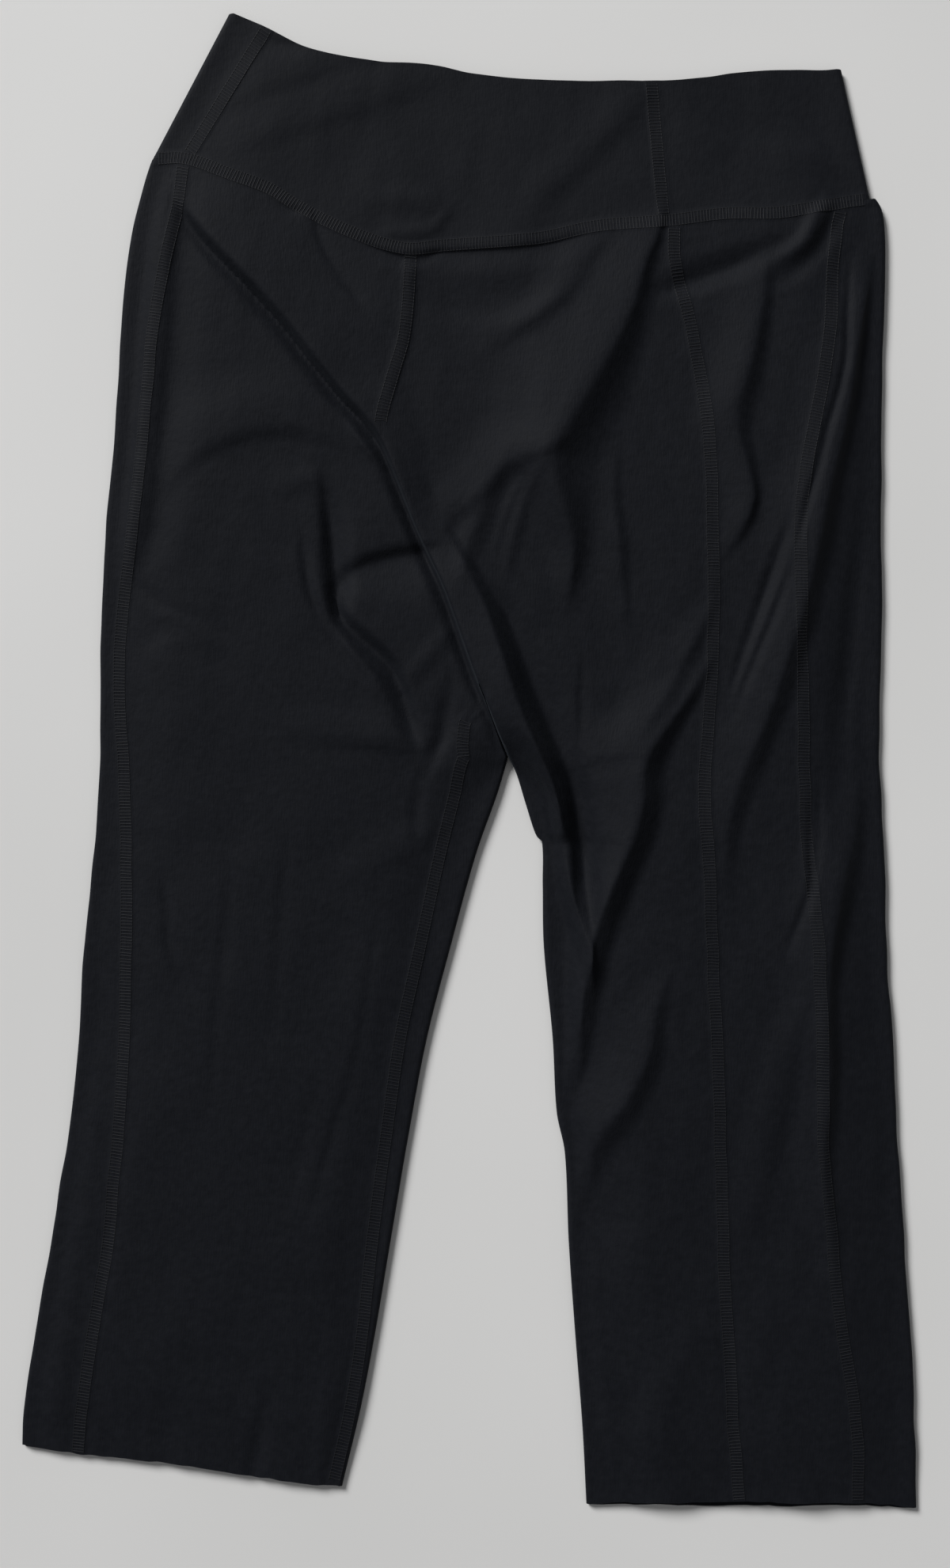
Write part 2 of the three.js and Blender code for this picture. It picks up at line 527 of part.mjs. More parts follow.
const backRightLines = {
  centre: line((y) => rightInner(y) + GAP + (inBody(y) ? 0 : innerRoll(y)), bandSeam, rightHem),
  side: line(shifted(rightBackLine, -GAP), bandSeam, rightHem),
  edge: line(shifted(rightInner, GAP), bandSeam, rightHem),
  edgeUnder: line((y) => rightInner(y) + GAP + innerRoll(y), bandSeam, rightHemUnder),
  inseam: line(shifted(rightHidden, -GAP), bandSeam, rightHemUnder),
};
const sideRightLines = {
  back: line(shifted(rightBackLine, GAP), bandSeam, rightHem),
  front: line(shifted(rightFrontLine, -GAP), bandSeam, rightHem),
};
const frontRightLines = {
  top: line(shifted(rightFrontLine, GAP), bandSeam, rightHem),
  edge: line(rightEdge, bandSeam, rightHem),
  edgeTop: line(shifted(rightEdge, -EDGE_ROLL), bandSeam, rightHem),
  edgeUnder: line(shifted(rightEdge, -EDGE_ROLL), bandSeamUnder, rightHemUnder),
  inner: line(shifted(rightHidden, GAP), bandSeamUnder, rightHemUnder),
};

const sideRoll = () => EDGE_ROLL;
const upwards = [...rollAngles].reverse();

// Each panel as its columns, in order around the body or the leg
const panels = {
  back_left: upperColumns(backLeftLines.side, backLeftLines.centre, shares(14), 'left'),
  side_left: [
    ...upperColumns(sideLeftLines.top, sideLeftLines.edgeTop, shares(2), 'left'),
    ...rollColumns(sideLeftLines.edge, -1, 'left', sideRoll, rollAngles),
    ...underColumns(sideLeftLines.edgeUnder, sideLeftLines.under, shares(2)),
  ],
  front_left: [
    ...underColumns(frontLeftLines.under, frontLeftLines.inner, shares(4)),
    ...rollColumns(frontLeftLines.edge, 1, 'left', innerRoll, upwards, BODY_ROWS),
    ...upperColumns(frontLeftLines.edgeTop, frontLeftLines.inseam, shares(2), 'left', BODY_ROWS),
  ],
  back_right: [
    ...upperColumns(backRightLines.centre, backRightLines.side, shares(18, 1.3), 'right').reverse(),
    ...rollColumns(backRightLines.edge, -1, 'right', innerRoll, rollAngles, BODY_ROWS),
    ...underColumns(backRightLines.edgeUnder, backRightLines.inseam, shares(1), BODY_ROWS),
  ],
  side_right: upperColumns(sideRightLines.back, sideRightLines.front, shares(7), 'right'),
  front_right: [
    ...upperColumns(frontRightLines.top, frontRightLines.edgeTop, shares(4), 'right'),
    ...rollColumns(frontRightLines.edge, 1, 'right', sideRoll, rollAngles),
    ...underColumns(frontRightLines.edgeUnder, frontRightLines.inner, shares(4)),
  ],
};

// The waistband: a place at a share across it and a share of the way from its seam to the waist
const BAND = {
  lower: { from: BAND_SEAM[0].x, to: BAND_SEAM.at(-1).x },
  waist: { from: WAIST_EDGE[0].x, to: WAIST_EDGE.at(-1).x },
};

function bandPlace(across, up, inset, seam, waist) {
  const xOf = (ends) => lerp(ends.from + inset, ends.to - inset, across);
  const lower = { x: xOf(BAND.lower), y: seam(xOf(BAND.lower)) + SEAM_GAP / 2 };
  const upperEnd = { x: xOf(BAND.waist), y: waist(xOf(BAND.waist)) };
  return { x: lerp(lower.x, upperEnd.x, up), y: lerp(lower.y, upperEnd.y, up) };
}

const BAND_ROLL = EDGE_ROLL + BAND_KNIT - KNIT;
const onBand = (across, up) => bandPlace(across, up, BAND_ROLL, bandSeam, waistEdge);
const underBand = (across, up) => bandPlace(across, up, BAND_ROLL, bandSeamUnder, waistEdgeUnder);
const seamShare = (seam, up) => lerp(seam.lower, seam.waist, up);
const bandWidth = (up) => lerp(BAND.lower.to - BAND.lower.from, BAND.waist.to - BAND.waist.from, up);

// Columns of the band, from one side to another, each given by a share that may depend on the height
const bandUpper = (from, to, steps) => steps.map((share) => ({
  first: 0,
  at: (row) => {
    const up = row / BAND_ROWS;
    const place = onBand(lerp(from(up), to(up), share), up);
    return upperWall(place.x, place.y, 'body', BAND_KNIT);
  },
}));
const bandUnder = (steps) => steps.map((share) => ({
  first: 0,
  at: (row) => {
    const place = underBand(share, row / BAND_ROWS);
    return underWall(place.x, place.y, BAND_KNIT);
  },
}));
const bandRoll = (side, towards, angles) => angles.map((degrees) => ({
  first: 0,
  at: (row) => {
    const place = onBand(side, row / BAND_ROWS);
    const top = upper(place.x, place.y, 'body', 2 * BAND_KNIT + LAYER_GAP);
    return rollWall(place.x + towards * BAND_ROLL, place.y, towards, BAND_ROLL, top.z, BAND_KNIT, degrees);
  },
}));

const gapShare = (up) => SEAM_GAP / 2 / bandWidth(up);
const leftSeam = (sign) => (up) => seamShare(BAND_SEAMS.left, up) + sign * gapShare(up);
const rightSeam = (sign) => (up) => seamShare(BAND_SEAMS.right, up) + sign * gapShare(up);
const atLeft = () => 0;
const atRight = () => 1;

const bands = {
  waistband_back: bandUpper(leftSeam(1), rightSeam(-1), shares(26)),
  waistband_front: [
    ...bandUpper(leftSeam(-1), atLeft, shares(2)),
    ...bandRoll(0, -1, rollAngles),
    ...bandUnder(shares(8)),
    ...bandRoll(1, 1, upwards),
    ...bandUpper(atRight, rightSeam(1), shares(11)),
  ],
};

// Near-black stretch knit, the same on every piece
function knitMaterial() {
  return new THREE.MeshStandardMaterial({ color: new THREE.Color(0.105, 0.115, 0.125), roughness: 0.85, metalness: 0 });
}

function piece(name, columns, rows) {
  const grid = Array.from({ length: rows + 1 }, (_, row) => (
    columns.map((column) => (row >= column.first ? column.at(row) : null))
  ));
  const mesh = new THREE.Mesh(wallGeometry(grid), knitMaterial());
  mesh.name = name;
  return mesh;
}

const leggings = new THREE.Group();
for (const [name, columns] of Object.entries(panels)) leggings.add(piece(name, columns, BODY_ROWS + LEG_ROWS));
for (const [name, columns] of Object.entries(bands)) leggings.add(piece(name, columns, BAND_ROWS));

export default leggings;
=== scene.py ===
import math

import bpy
import numpy as np
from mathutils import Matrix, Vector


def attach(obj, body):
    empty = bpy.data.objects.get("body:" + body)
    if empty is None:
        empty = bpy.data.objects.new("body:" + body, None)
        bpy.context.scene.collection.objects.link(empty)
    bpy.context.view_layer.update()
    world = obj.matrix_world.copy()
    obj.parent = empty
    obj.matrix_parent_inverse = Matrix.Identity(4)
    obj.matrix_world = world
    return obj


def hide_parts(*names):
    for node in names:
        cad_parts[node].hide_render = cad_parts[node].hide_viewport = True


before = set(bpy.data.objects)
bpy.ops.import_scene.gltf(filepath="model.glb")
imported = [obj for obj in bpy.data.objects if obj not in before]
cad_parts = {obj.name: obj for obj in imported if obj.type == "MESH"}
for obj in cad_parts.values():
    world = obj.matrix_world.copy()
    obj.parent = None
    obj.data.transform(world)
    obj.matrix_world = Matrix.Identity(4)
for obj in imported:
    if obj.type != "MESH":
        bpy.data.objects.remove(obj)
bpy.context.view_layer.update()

# Sizes are millimetres in the frame's axes until a mesh is made, and the scene is in metres.
MM = 0.001
KNIT = 1.2
BAND_KNIT = 1.6
SEAM_GAP = 0.06
LAYER_GAP = 0.5
EDGE_HEIGHT = 4.8
EDGE_ROLL = 2.5
CROTCH_ROLL = 0.4
EDGE_REACH = 13
CROWN_REACH = 42
CENTRE_REACH = 60
CROTCH_Y = 40
FORK_Y = 2
TUBE_GROWTH = 60
UNDER_HEM_DROP = 3.4
UNDER_SEAM_DROP = 14
UNDER_WAIST_DROP = 42
UNDER_LIFT = 0.25
HEM_SINK = 1.5
HEM_REACH = 45
THINNEST = 0.05

# Folds: least rounding at a line, how far widths blend over a bend, and the rise that leans fully
LEAST_ROUND = 1.1
BLEND = 2.5
FULL_LEAN = 3

# Smooth noise: lattice sizes, and the place on the wave lattice of the frame's origin
WANDER_LATTICE = 256
WAVE_LATTICE = 64
WAVE_START = 300
UNDER_WAVE = 0.5
UNDER_WAVE_RANGE = (0.25, 0.9)
UNDER_WAVE_SHIFT = (17, -9)

# Flatlock seams: a flat raised band between two needle rows, with ladder threads across it
SEAM_HALF = 3.2
SEAM_RISE = 0.24
SEAM_SOFT = 0.9
STITCH_PITCH = 1.7
CENTRE_SEAM_FADE = (178, 190)
INSEAM_GROWTH = 20
INSEAM_FADE = (4, 20)

# Where the search for a line's two ends starts, and how often it is repeated
FIRST_TOP = 300.0
FIRST_FOOT = -380.0
ROUNDS = 12

# Mesh steps, and the lengths that they are shared out over
BODY_LENGTH = 240
LEG_LENGTH = 437
BAND_LENGTH = 92
BAND_UNDER_COLUMNS = 120
CELL = 2
FINE_CELL = 0.8
FINE_CELLS = 6
ROLL_STEPS = 10
FOLD_STEPS = 8


def table(columns, *rows):
    """Rows of named numbers."""
    return [dict(zip(columns.split(), row)) for row in rows]


# Left half, a row for each level. outer is its folded edge, strip the side panel's width that shows,
# under the hidden seam's place on the underside from that edge, inner the centre seam and, below the
# crotch, the leg's inner edge, inseam its seam's distance from that edge, crown the cloth's lift.
LEFT = table(
    "y outer strip under inner inseam crown",
    (404, -130.1, 20, 60, -31.6, 4, 0.8),
    (365, -150.5, 19, 62, -31.6, 4, 1.4),
    (330, -169.6, 17.8, 66, -31.6, 4, 2.4),
    (300, -179.5, 22.4, 66, -31.6, 4, 3.4),
    (270, -184.9, 21.3, 67, -31.6, 4, 4),
    (230, -188.6, 17.9, 68, -34.8, 4, 4.4),
    (205, -190.1, 17, 68, -41.6, 4, 4.6),
    (180, -191.6, 16.2, 68, -46.4, 4, 4.8),
    (155, -193.7, 15.9, 67, -40.2, 4, 4.8),
    (130, -196.3, 15.5, 66, -29.5, 4, 4.8),
    (80, -199.4, 11.8, 63, -8.8, 4, 4.6),
    (40, -199.5, 10.6, 60, 6.2, 4, 4.4),
    (20, -199.6, 11.6, 58, 13.6, 16, 4.2),
    (2, -200, 13, 56, 21.2, 24, 4),
    (-18, -201.2, 14.8, 54, 15.2, 23, 3.9),
    (-50, -203.2, 18.1, 50, 3.9, 19.6, 3.7),
    (-100, -208.6, 23.4, 46, -9.9, 16.6, 3.5),
    (-150, -211.3, 25.2, 44, -22.8, 14.5, 3.4),
    (-200, -216.8, 27.5, 42, -32.3, 12.2, 3.3),
    (-260, -226.6, 31.5, 40, -42.5, 9.9, 3.2),
    (-310, -235.2, 31.7, 38, -50.9, 7, 2.8),
    (-350, -241.4, 31.9, 36, -58.6, 5.6, 2.2),
    (-392, -241.9, 29.4, 34, -68.6, 5, 1.6),
)

# Right half: front and back are the two seams of its side panel, measured in from the outer edge,
# and under the hidden inseam's place on the underside from the leg's inner edge.
RIGHT = table(
    "y outer front back under crown",
    (375, 201.5, 95, 95, 1.4, 0.8),
    (335, 208.6, 60, 100, 1.4, 1.6),
    (312, 214.6, 33, 109, 1.4, 2.6),
    (300, 222.8, 23.6, 113.6, 1.4, 3),
    (290, 225.2, 26, 114.4, 1.4, 3.4),
    (270, 225.5, 29, 114.6, 1.4, 4),
    (230, 224.2, 30.9, 104, 1.4, 4.8),
    (205, 223.5, 34.2, 99, 1.4, 5.2),
    (180, 223.3, 38.7, 95, 1.4, 5.6),
    (155, 223.3, 43.6, 93.2, 1.4, 5.8),
    (130, 223.4, 46, 92.2, 1.4, 6),
    (80, 223.4, 46.6, 92.2, 1.4, 6),
    (40, 222.6, 43, 92.4, 1.4, 6),
    (20, 222.2, 42.4, 93.6, 5, 6),
    (2, 222.2, 42, 94.7, 9, 6),
    (-18, 223, 42.4, 97, 12, 6),
    (-50, 225.3, 42.6, 96.4, 16, 6),
    (-100, 226, 39.4, 95.3, 20, 6),
    (-150, 229.6, 41, 96.3, 22, 6),
    (-190, 231.2, 42.1, 96.4, 22, 5.8),
    (-212, 232.4, 42.6, 97.2, 22, 5.6),
    (-260, 235.6, 40.6, 98.8, 22, 5.2),
    (-310, 239.2, 38, 99.6, 22, 4.6),
    (-360, 241.4, 32.2, 98.8, 22, 3.6),
    (-404, 242.1, 32.4, 96, 22, 2.6),
)
RIGHT_INNER = table(
    "y inner",
    (2, 21.2),
    (-6, 25.3),
    (-24, 30.9),
    (-40.5, 36.4),
    (-43.5, 39.4),
    (-67, 39.8),
    (-100, 40.4),
    (-150, 45.2),
    (-190, 47.4),
    (-212, 51.8),
    (-260, 53.9),
    (-310, 57.4),
    (-360, 61.3),
    (-404, 63.6),
)

# Lines that cross the body
BAND_SEAM = table(
    "x y",
    (-172.2, 325.6), (-153.3, 325.6), (-127.5, 316), (-107.3, 308.5), (-93.5, 300),
    (-65.6, 286), (-35, 276.3), (-14.8, 278.2), (35.9, 281.8), (69.4, 288.6),
    (107.3, 291.6), (137, 295.2), (166.6, 295.6), (192.4, 299.9), (208, 303), (221.6, 304.4),
)
WAIST_EDGE = table(
    "x y",
    (-130.1, 405.4), (-112.9, 398.4), (-87.1, 385.6), (-48.4, 378.2), (-22.6, 376.2),
    (3.2, 371.6), (35, 368.4), (106.4, 368.2), (158, 373), (201.5, 374.4),
)
LEFT_HEM = table(
    "x y",
    (-241.9, -370), (-211.8, -374.6), (-168.8, -379), (-125.8, -385.2), (-91.4, -390.4),
    (-68.6, -392.2),
)
RIGHT_HEM = table(
    "x y",
    (63.6, -402.4), (90, -400.6), (120, -400.2), (180, -400.6), (215, -401.4), (242.1, -404),
)
FRONT_SEAM = table("y x", (330, 72), (200, 58), (110, 34), (40, 6.2))
BAND_SEAMS = {"left": (0.048, 0.063), "right": (0.711, 0.689)}


def fold(crest, foot, lean, line):
    """One fold's rounding, lean and line."""
    return {"crest": crest, "foot": foot, "lean": lean, "line": line}


# Folds as facets: each has a crest or trough line whose two flanks fall or rise evenly to their feet.
# A row of its line is x, y, rise (down if negative), and the widths of its left and right flanks. Left
# is the -X side of a line that runs towards the hems, and the lower side of one that runs towards +X.
# crest and foot say how much of a flank is rounded at the line and at its foot, and lean how far the
# line hangs over to the left.
FOLDS = [
    # the left hip: the roll beside its edge, and the long ridge from the waistband to the crotch
    fold(0.5, 0.5, 0, [
        (-158, 320, 0, 8, 12), (-164, 300, 1.1, 9, 15), (-168.5, 262, 2, 10, 17),
        (-173.5, 205, 2.4, 11, 17), (-179.5, 142, 2.4, 11, 16), (-185, 112, 1.4, 10, 14),
        (-189, 88, 0, 6, 10)]),
    fold(0.5, 0.5, 0, [
        (-152, 312, 0, 8, 16), (-154, 280, -1.2, 10, 20), (-158, 230, -1.6, 11, 24),
        (-164, 170, -1.6, 11, 24), (-170, 124, -1, 10, 18), (-176, 100, 0, 8, 12)]),
    fold(0.3, 0.6, 0, [
        (-190, 104, 0, 4, 5), (-178, 93, -0.5, 6, 8), (-160, 82, -0.5, 7, 8), (-140, 74, -0.4, 7, 8),
        (-116, 58, 0, 5, 5)]),
    fold(0.6, 0.6, 0, [(-178, 62, 0, 8, 8), (-165, 70, -0.6, 9, 10), (-148, 72, 0, 8, 8)]),
    fold(0.15, 0.3, 1.4, [
        (-160, 312, 0, 6, 22), (-148, 295, 2.2, 7, 33), (-136, 280, 3.5, 7, 44),
        (-116, 260, 4, 7, 48.4), (-98, 240, 4.1, 7, 48.4), (-82, 220, 3.8, 6.5, 44),
        (-66, 200, 3.6, 6, 37.4), (-54, 187, 3.3, 5.5, 28.6), (-45, 174, 3.1, 5, 24.2),
        (-38, 158, 3.9, 4.5, 18), (-28.5, 132, 3.7, 3.5, 14), (-20, 112, 3.9, 3, 14),
        (-10.5, 90, 4.1, 3, 14), (5, 46, 5, 3, 14), (13, 26, 4.6, 3, 13), (19.5, 9, 3, 3, 12),
        (22, 0, 0, 3, 10)]),
    fold(0.12, 0.5, 0, [
        (-158, 300, 0, 6, 4.2), (-141, 279, -3.4, 9, 5.6), (-121, 258, -4.4, 10, 5.6),
        (-103, 238, -4.7, 10, 5.6), (-87, 217, -4.7, 9, 5.6), (-71, 197, -4.4, 8, 4.9),
        (-59, 184, -4.4, 8, 4.9), (-49.5, 171, -3.9, 7, 4.2), (-42, 155, -3.9, 7, 3.6),
        (-32, 130, -3.9, 7, 3.6), (-23.5, 110, -4.1, 7, 3.6), (-14, 88, -4.1, 7, 3.6),
        (1, 45, -3.9, 6, 3), (10, 24, -3, 5, 3), (16, 8, -1.4, 4, 2.5), (20, -2, 0, 3, 2)]),
    fold(0.2, 0.4, 0.5, [
        (-70, 194, 0, 3, 6), (-58, 172, 1.2, 4, 10), (-48, 161, 1.2, 4, 10), (-40, 150, 0.8, 3, 8),
        (-35, 138, 0, 3, 6)]),
    fold(0.2, 0.5, 0, [
        (-83, 300, 0, 3, 4), (-81, 284, -1, 4, 6), (-72, 266, -1, 4, 7), (-62, 252, -0.8, 4, 7),
        (-53, 238, 0, 3, 4)]),
    # the left thigh: an arched crest, and a pleat that forks below it
    fold(0.5, 0.6, 0, [
        (-170, 136, 0, 8, 16), (-160, 156, 0.8, 10, 24), (-144, 171, 1.6, 12, 34),
        (-126, 179, 2, 13, 38), (-106, 183, 2, 13, 38), (-86, 181, 1.5, 12, 32),
        (-68, 174, 0.7, 10, 24), (-54, 165, 0, 8, 16)]),
    fold(0.6, 0.6, 0, [(-104, 148, 0, 8, 8), (-88, 152, 0.8, 9, 10), (-74, 149, 0, 7, 8)]),
    fold(0.15, 0.4, 0, [
        (-79, 158, 0, 5, 8), (-76.5, 140, -2.6, 6, 12), (-74.5, 124, -4.6, 7.5, 14),
        (-73, 106, -5.4, 8, 14), (-71.5, 90, -4.8, 7, 12), (-70, 72, 0, 6, 8)]),
    fold(0.12, 0.4, 0, [
        (-74, 92, 0, 6, 5), (-69, 77, -3.8, 8, 6), (-58, 66, -5.2, 10, 7), (-48, 57, -5.8, 11, 7),
        (-40.5, 47, -5.8, 11, 7), (-35, 33, -4.8, 10, 6.5), (-31, 19, -2.8, 9, 6), (-26, 2, 0, 6, 5)]),
    fold(0.15, 0.5, 0, [
        (-76, 86, 0, 8, 5), (-68, 98, -1.8, 18, 7), (-57, 105, -3, 26, 7.5),
        (-43, 109.5, -3.6, 30, 7.5), (-29, 112, -3.2, 26, 7), (-12, 116, 0, 14, 5)]),
    fold(0.3, 0.5, 0, [
        (-85, 112, 0, 5, 4), (-81, 91, 1, 7, 5), (-75, 77, 1.3, 8, 6), (-66, 64, 1.3, 8, 6),
        (-55, 50, 1.1, 8, 6), (-46, 36, 0.8, 8, 6), (-36, 18, 0, 5, 5)]),
    fold(0.15, 0.5, 0, [
        (-91, 128, 0, 4, 4), (-88, 106, -1.4, 5, 6), (-85, 90, -1.7, 5, 6), (-77, 74, -1.4, 5, 6),
        (-67, 58, -1, 5, 6), (-56, 42, 0, 4, 5)]),
    fold(0.4, 0.6, 0, [
        (-108, 16, 0, 10, 16), (-84, 16, 0.8, 12, 22), (-62, 14, 1.3, 11, 24), (-45, 11, 1.4, 9, 20),
        (-32, 8, 1, 8, 14), (-22, 8, 0, 5, 8)]),
    fold(0.5, 0.6, 0, [
        (-78, -66, 0, 10, 12), (-56, -56, 0.6, 12, 18), (-38, -48, 0.8, 12, 18),
        (-24, -40, 0.6, 10, 14), (-14, -34, 0, 7, 9)]),
    fold(0.4, 0.6, 0, [
        (-26, -2, 0, 5, 6), (-28, -20, -1.1, 6, 8), (-29, -32, -0.8, 6, 8), (-28, -48, 0, 5, 6)]),
    fold(0.4, 0.6, 0, [
        (-8, 50, 0, 6, 5), (-12, 28, -1.6, 9, 7), (-14, 14, -2, 9, 7), (-20, 2, -1.2, 7, 7),
        (-25, -12, 0, 5, 6)]),
    fold(0.4, 0.6, 0, [
        (-40, 36, 0, 7, 7), (-26, 52, 0.9, 9, 9), (-14, 66, 0.9, 9, 9), (-4, 79, 0, 6, 6)]),
    # the seat: a broad rise to a ridge, and the streaks between the ridge and the crotch
    fold(0.12, 0.6, -2, [
        (105, 302, 0, 14.4, 5), (100, 286, 2.3, 27, 7.9), (92, 268, 4.1, 41.4, 12),
        (86, 248, 5.8, 52.2, 16.9), (77, 228, 7.5, 57.6, 21.9), (67, 210, 8.6, 59.4, 25.9),
        (57, 193, 9.4, 57.6, 28.8), (48, 178, 9.4, 50.4, 30.8), (42, 165, 9, 39.6, 31.8),
        (44, 150, 7.9, 28.8, 28.8), (49, 134, 6.5, 22.5, 23.8), (53.5, 116, 4.4, 16.2, 15.9),
        (53, 98, 2.3, 11.7, 9.9), (52, 80, 0, 7.2, 6)]),
    fold(0.3, 0.5, 0, [
        (54, 176, 0, 18, 5), (34, 167, 1.6, 24, 9), (20, 161, 2.4, 30, 12), (8, 150, 2.4, 30, 12),
        (-4, 138, 1.8, 26, 10), (-18, 124, 0, 16, 7)]),
    fold(0.4, 0.6, 0, [
        (78, 292, 0, 10, 7), (64, 275, 0.9, 16, 10), (50, 258, 1.1, 18, 13), (32, 242, 0.9, 18, 13),
        (14, 228, 0.6, 16, 12), (-2, 214, 0, 12, 10)]),
    fold(0.4, 0.6, 0, [
        (60, 262, 0, 8, 6), (46, 248, 0.8, 12, 8), (30, 236, 0.8, 12, 8), (16, 228, 0, 8, 6)]),
    fold(0.5, 0.6, 0, [
        (-24, 252, 0, 10, 12), (-6, 246, -1.2, 14, 22), (14, 246, -1.3, 14, 24),
        (32, 250, -1.2, 12, 20), (50, 260, 0, 8, 12)]),
    fold(0.2, 0.6, 0, [
        (-31, 276, 0, 8, 4), (-31.5, 262, 0.5, 12, 5), (-32, 240, 0.6, 13, 5), (-36, 220, 0.6, 13, 5),
        (-42, 200, 0.4, 12, 5), (-47, 180, 0, 8, 4)]),
    fold(0.2, 0.5, 0, [
        (-40, 272, 0, 12, 3), (-14, 274, -1, 14, 3.5), (20, 275, -1.3, 14, 4), (46, 279, -1, 14, 4),
        (70, 286, 0, 10, 3)]),
    fold(0.15, 0.4, 0, [
        (79, 168, 0, 8, 4), (78, 142, 1.3, 16, 5), (80.5, 118, 1.8, 18, 6), (82, 96, 1.5, 18, 6),
        (85, 70, 0, 10, 4)]),
    fold(0.2, 0.4, 0, [
        (20, 170, 0, 8, 5), (13, 150, 1.4, 12, 9), (5, 131, 2, 12, 12), (-2, 112, 1.7, 10, 11),
        (-6, 90, 0, 7, 8)]),
    fold(0.2, 0.5, 0, [
        (41, 170, 0, 6, 4), (33, 150, 1, 9, 5), (27, 132, 1.3, 9, 6), (22, 112, 0.9, 8, 6),
        (18, 90, 0, 6, 4)]),
    fold(0.2, 0.5, 0, [
        (31, 160, 0, 4, 3), (24, 144, 0.7, 6, 4), (18, 128, 0.8, 6, 4), (13, 110, 0, 4, 3)]),
    fold(0.3, 0.5, 0, [
        (61.5, 62, 0, 3, 4), (60.5, 42, -0.6, 4, 6), (60, 18, -0.6, 4, 6), (59.5, -2, 0, 3, 4)]),
    # the two long creases from the crotch to the right knee
    fold(0.1, 0.45, -2, [
        (-18, 134, 0, 12, 7.2), (-8, 112, 3.3, 18, 9), (2, 92, 6.9, 24, 10.8), (8, 78, 8.8, 26, 12.2),
        (14, 60, 10, 27, 13.1), (24, 30, 11, 26, 13.5), (33, 8, 11.2, 22, 13.5),
        (41, -10, 11, 17, 13.1), (45.5, -25, 10.6, 13, 13.1), (48, -45, 10, 10, 12.6),
        (52, -66, 8.8, 8, 11.2), (57, -86, 6.1, 6, 8.6), (62, -106, 2.7, 5, 6.3),
        (66, -124, 0, 5, 4.5)]),
    fold(0.3, 0.6, 0, [
        (16, 92, 0, 6, 10), (24, 72, -2.4, 7, 14), (36, 40, -3.8, 8, 18), (47, 12, -4.2, 8, 18),
        (56, -10, -4.2, 8, 16), (60, -32, -4, 8, 14), (63, -54, -3, 7, 12), (65, -76, -1.6, 6, 10),
        (67, -98, 0, 5, 8)]),
    fold(0.15, 0.45, -1, [
        (131, 88, 0, 9, 5), (121, 66, 1.8, 16, 8), (110, 47, 2.5, 24, 10), (99, 29, 1.8, 24, 9),
        (87, 10, 0, 12, 5)]),
    fold(0.1, 0.4, -1.6, [
        (131, 58, 0, 8, 4.7), (120, 41, 2.5, 16, 8.5), (107, 23, 4.6, 26, 11.3), (97, 9, 6.5, 34, 14.6),
        (91.5, -5, 7.5, 36, 16), (91, -21, 7.8, 35, 16.4), (87, -38, 7.8, 31, 16.4),
        (79.5, -56, 7.6, 24, 16.4), (71, -76, 8.6, 18, 17), (66, -92, 8.2, 15, 16),
        (62, -110, 7.8, 12, 15), (59, -130, 7, 9.5, 14.5), (56.5, -150, 5.4, 8, 13),
        (53, -168, 3.4, 6, 11), (48, -188, 0, 5, 6)]),
    fold(0.4, 0.6, 0, [
        (54, -2, 0, 6, 16), (66, 3, 0.9, 9, 26), (78, 6, 1.2, 10, 32), (88, 6, 0.9, 9, 28),
        (97, 4, 0, 6, 16)]),
    fold(0.15, 0.45, -1, [
        (107, -112, 0, 10, 6), (99, -136, 2.4, 20, 10), (94.5, -158, 4, 27, 13),
        (85, -178, 4.8, 30, 15), (77, -190, 5, 28, 16), (69, -201, 4.8, 23, 16.5),
        (61, -217, 4, 15, 16), (56, -234, 2.4, 8, 12), (50, -254, 0, 5, 8)]),
    # the right hip: the tucks under the waistband and the long crease down the side
    fold(0.2, 0.5, 0, [
        (97, 252, 0, 8, 8), (112, 256, -2.6, 11, 12), (129, 262, -3.6, 11, 14),
        (150, 269, -3.4, 10, 14), (164, 274, -2.4, 8, 12), (180, 282, 0, 6, 8)]),
    fold(0.3, 0.5, 0.4, [
        (142, 264, 0, 6, 5), (158, 271, 1.5, 8, 7), (170, 275, 2.3, 9.5, 7), (180, 281, 2.6, 10, 7),
        (187, 293, 2.4, 9.5, 8), (195, 306, 0, 6, 6)]),
    fold(0.4, 0.6, 0, [
        (158, 257, 0, 7, 7), (172, 262, -1.3, 9, 9), (184, 271, -1.6, 9, 9), (193, 284, -1.3, 9, 9),
        (203, 302, 0, 7, 7)]),
    fold(0.2, 0.5, -0.8, [
        (161, 272, 0, 10, 5), (158, 255, 2.2, 20, 8), (155, 238, 3.6, 26, 10), (150, 216, 4.2, 28, 12),
        (145, 200, 4.2, 27, 14), (142, 188, 4, 25, 14), (143, 176, 3.6, 24, 11), (148, 160, 3.6, 24, 8),
        (151, 148, 3.6, 23, 7), (151, 139, 3.2, 20, 7), (146, 126, 2.2, 16, 7), (136, 110, 0, 10, 5)]),
    fold(0.12, 0.4, -1.4, [
        (219, 284, 0, 8, 5), (215, 260, 2.5, 18, 8), (210.5, 240, 3.9, 26, 8), (207, 220, 4.6, 30, 8),
        (204, 200, 4.8, 32, 8.5), (200, 180, 4.9, 32, 9), (195, 160, 4.9, 32, 10),
        (190, 140, 5.1, 32, 11), (186, 120, 5.2, 32, 12), (181.5, 100, 5.2, 31, 12.5),
        (177, 80, 5.1, 30, 13), (170, 60, 4.9, 29, 13.5), (164, 40, 4.8, 28, 14),
        (156.5, 20, 4.4, 26, 14), (148, 0, 3.9, 23, 14), (141, -20, 3.1, 20, 13),
        (137.5, -42, 2, 16, 10), (137.5, -76, 0, 10, 6)]),
    fold(0.1, 0.5, 0, [
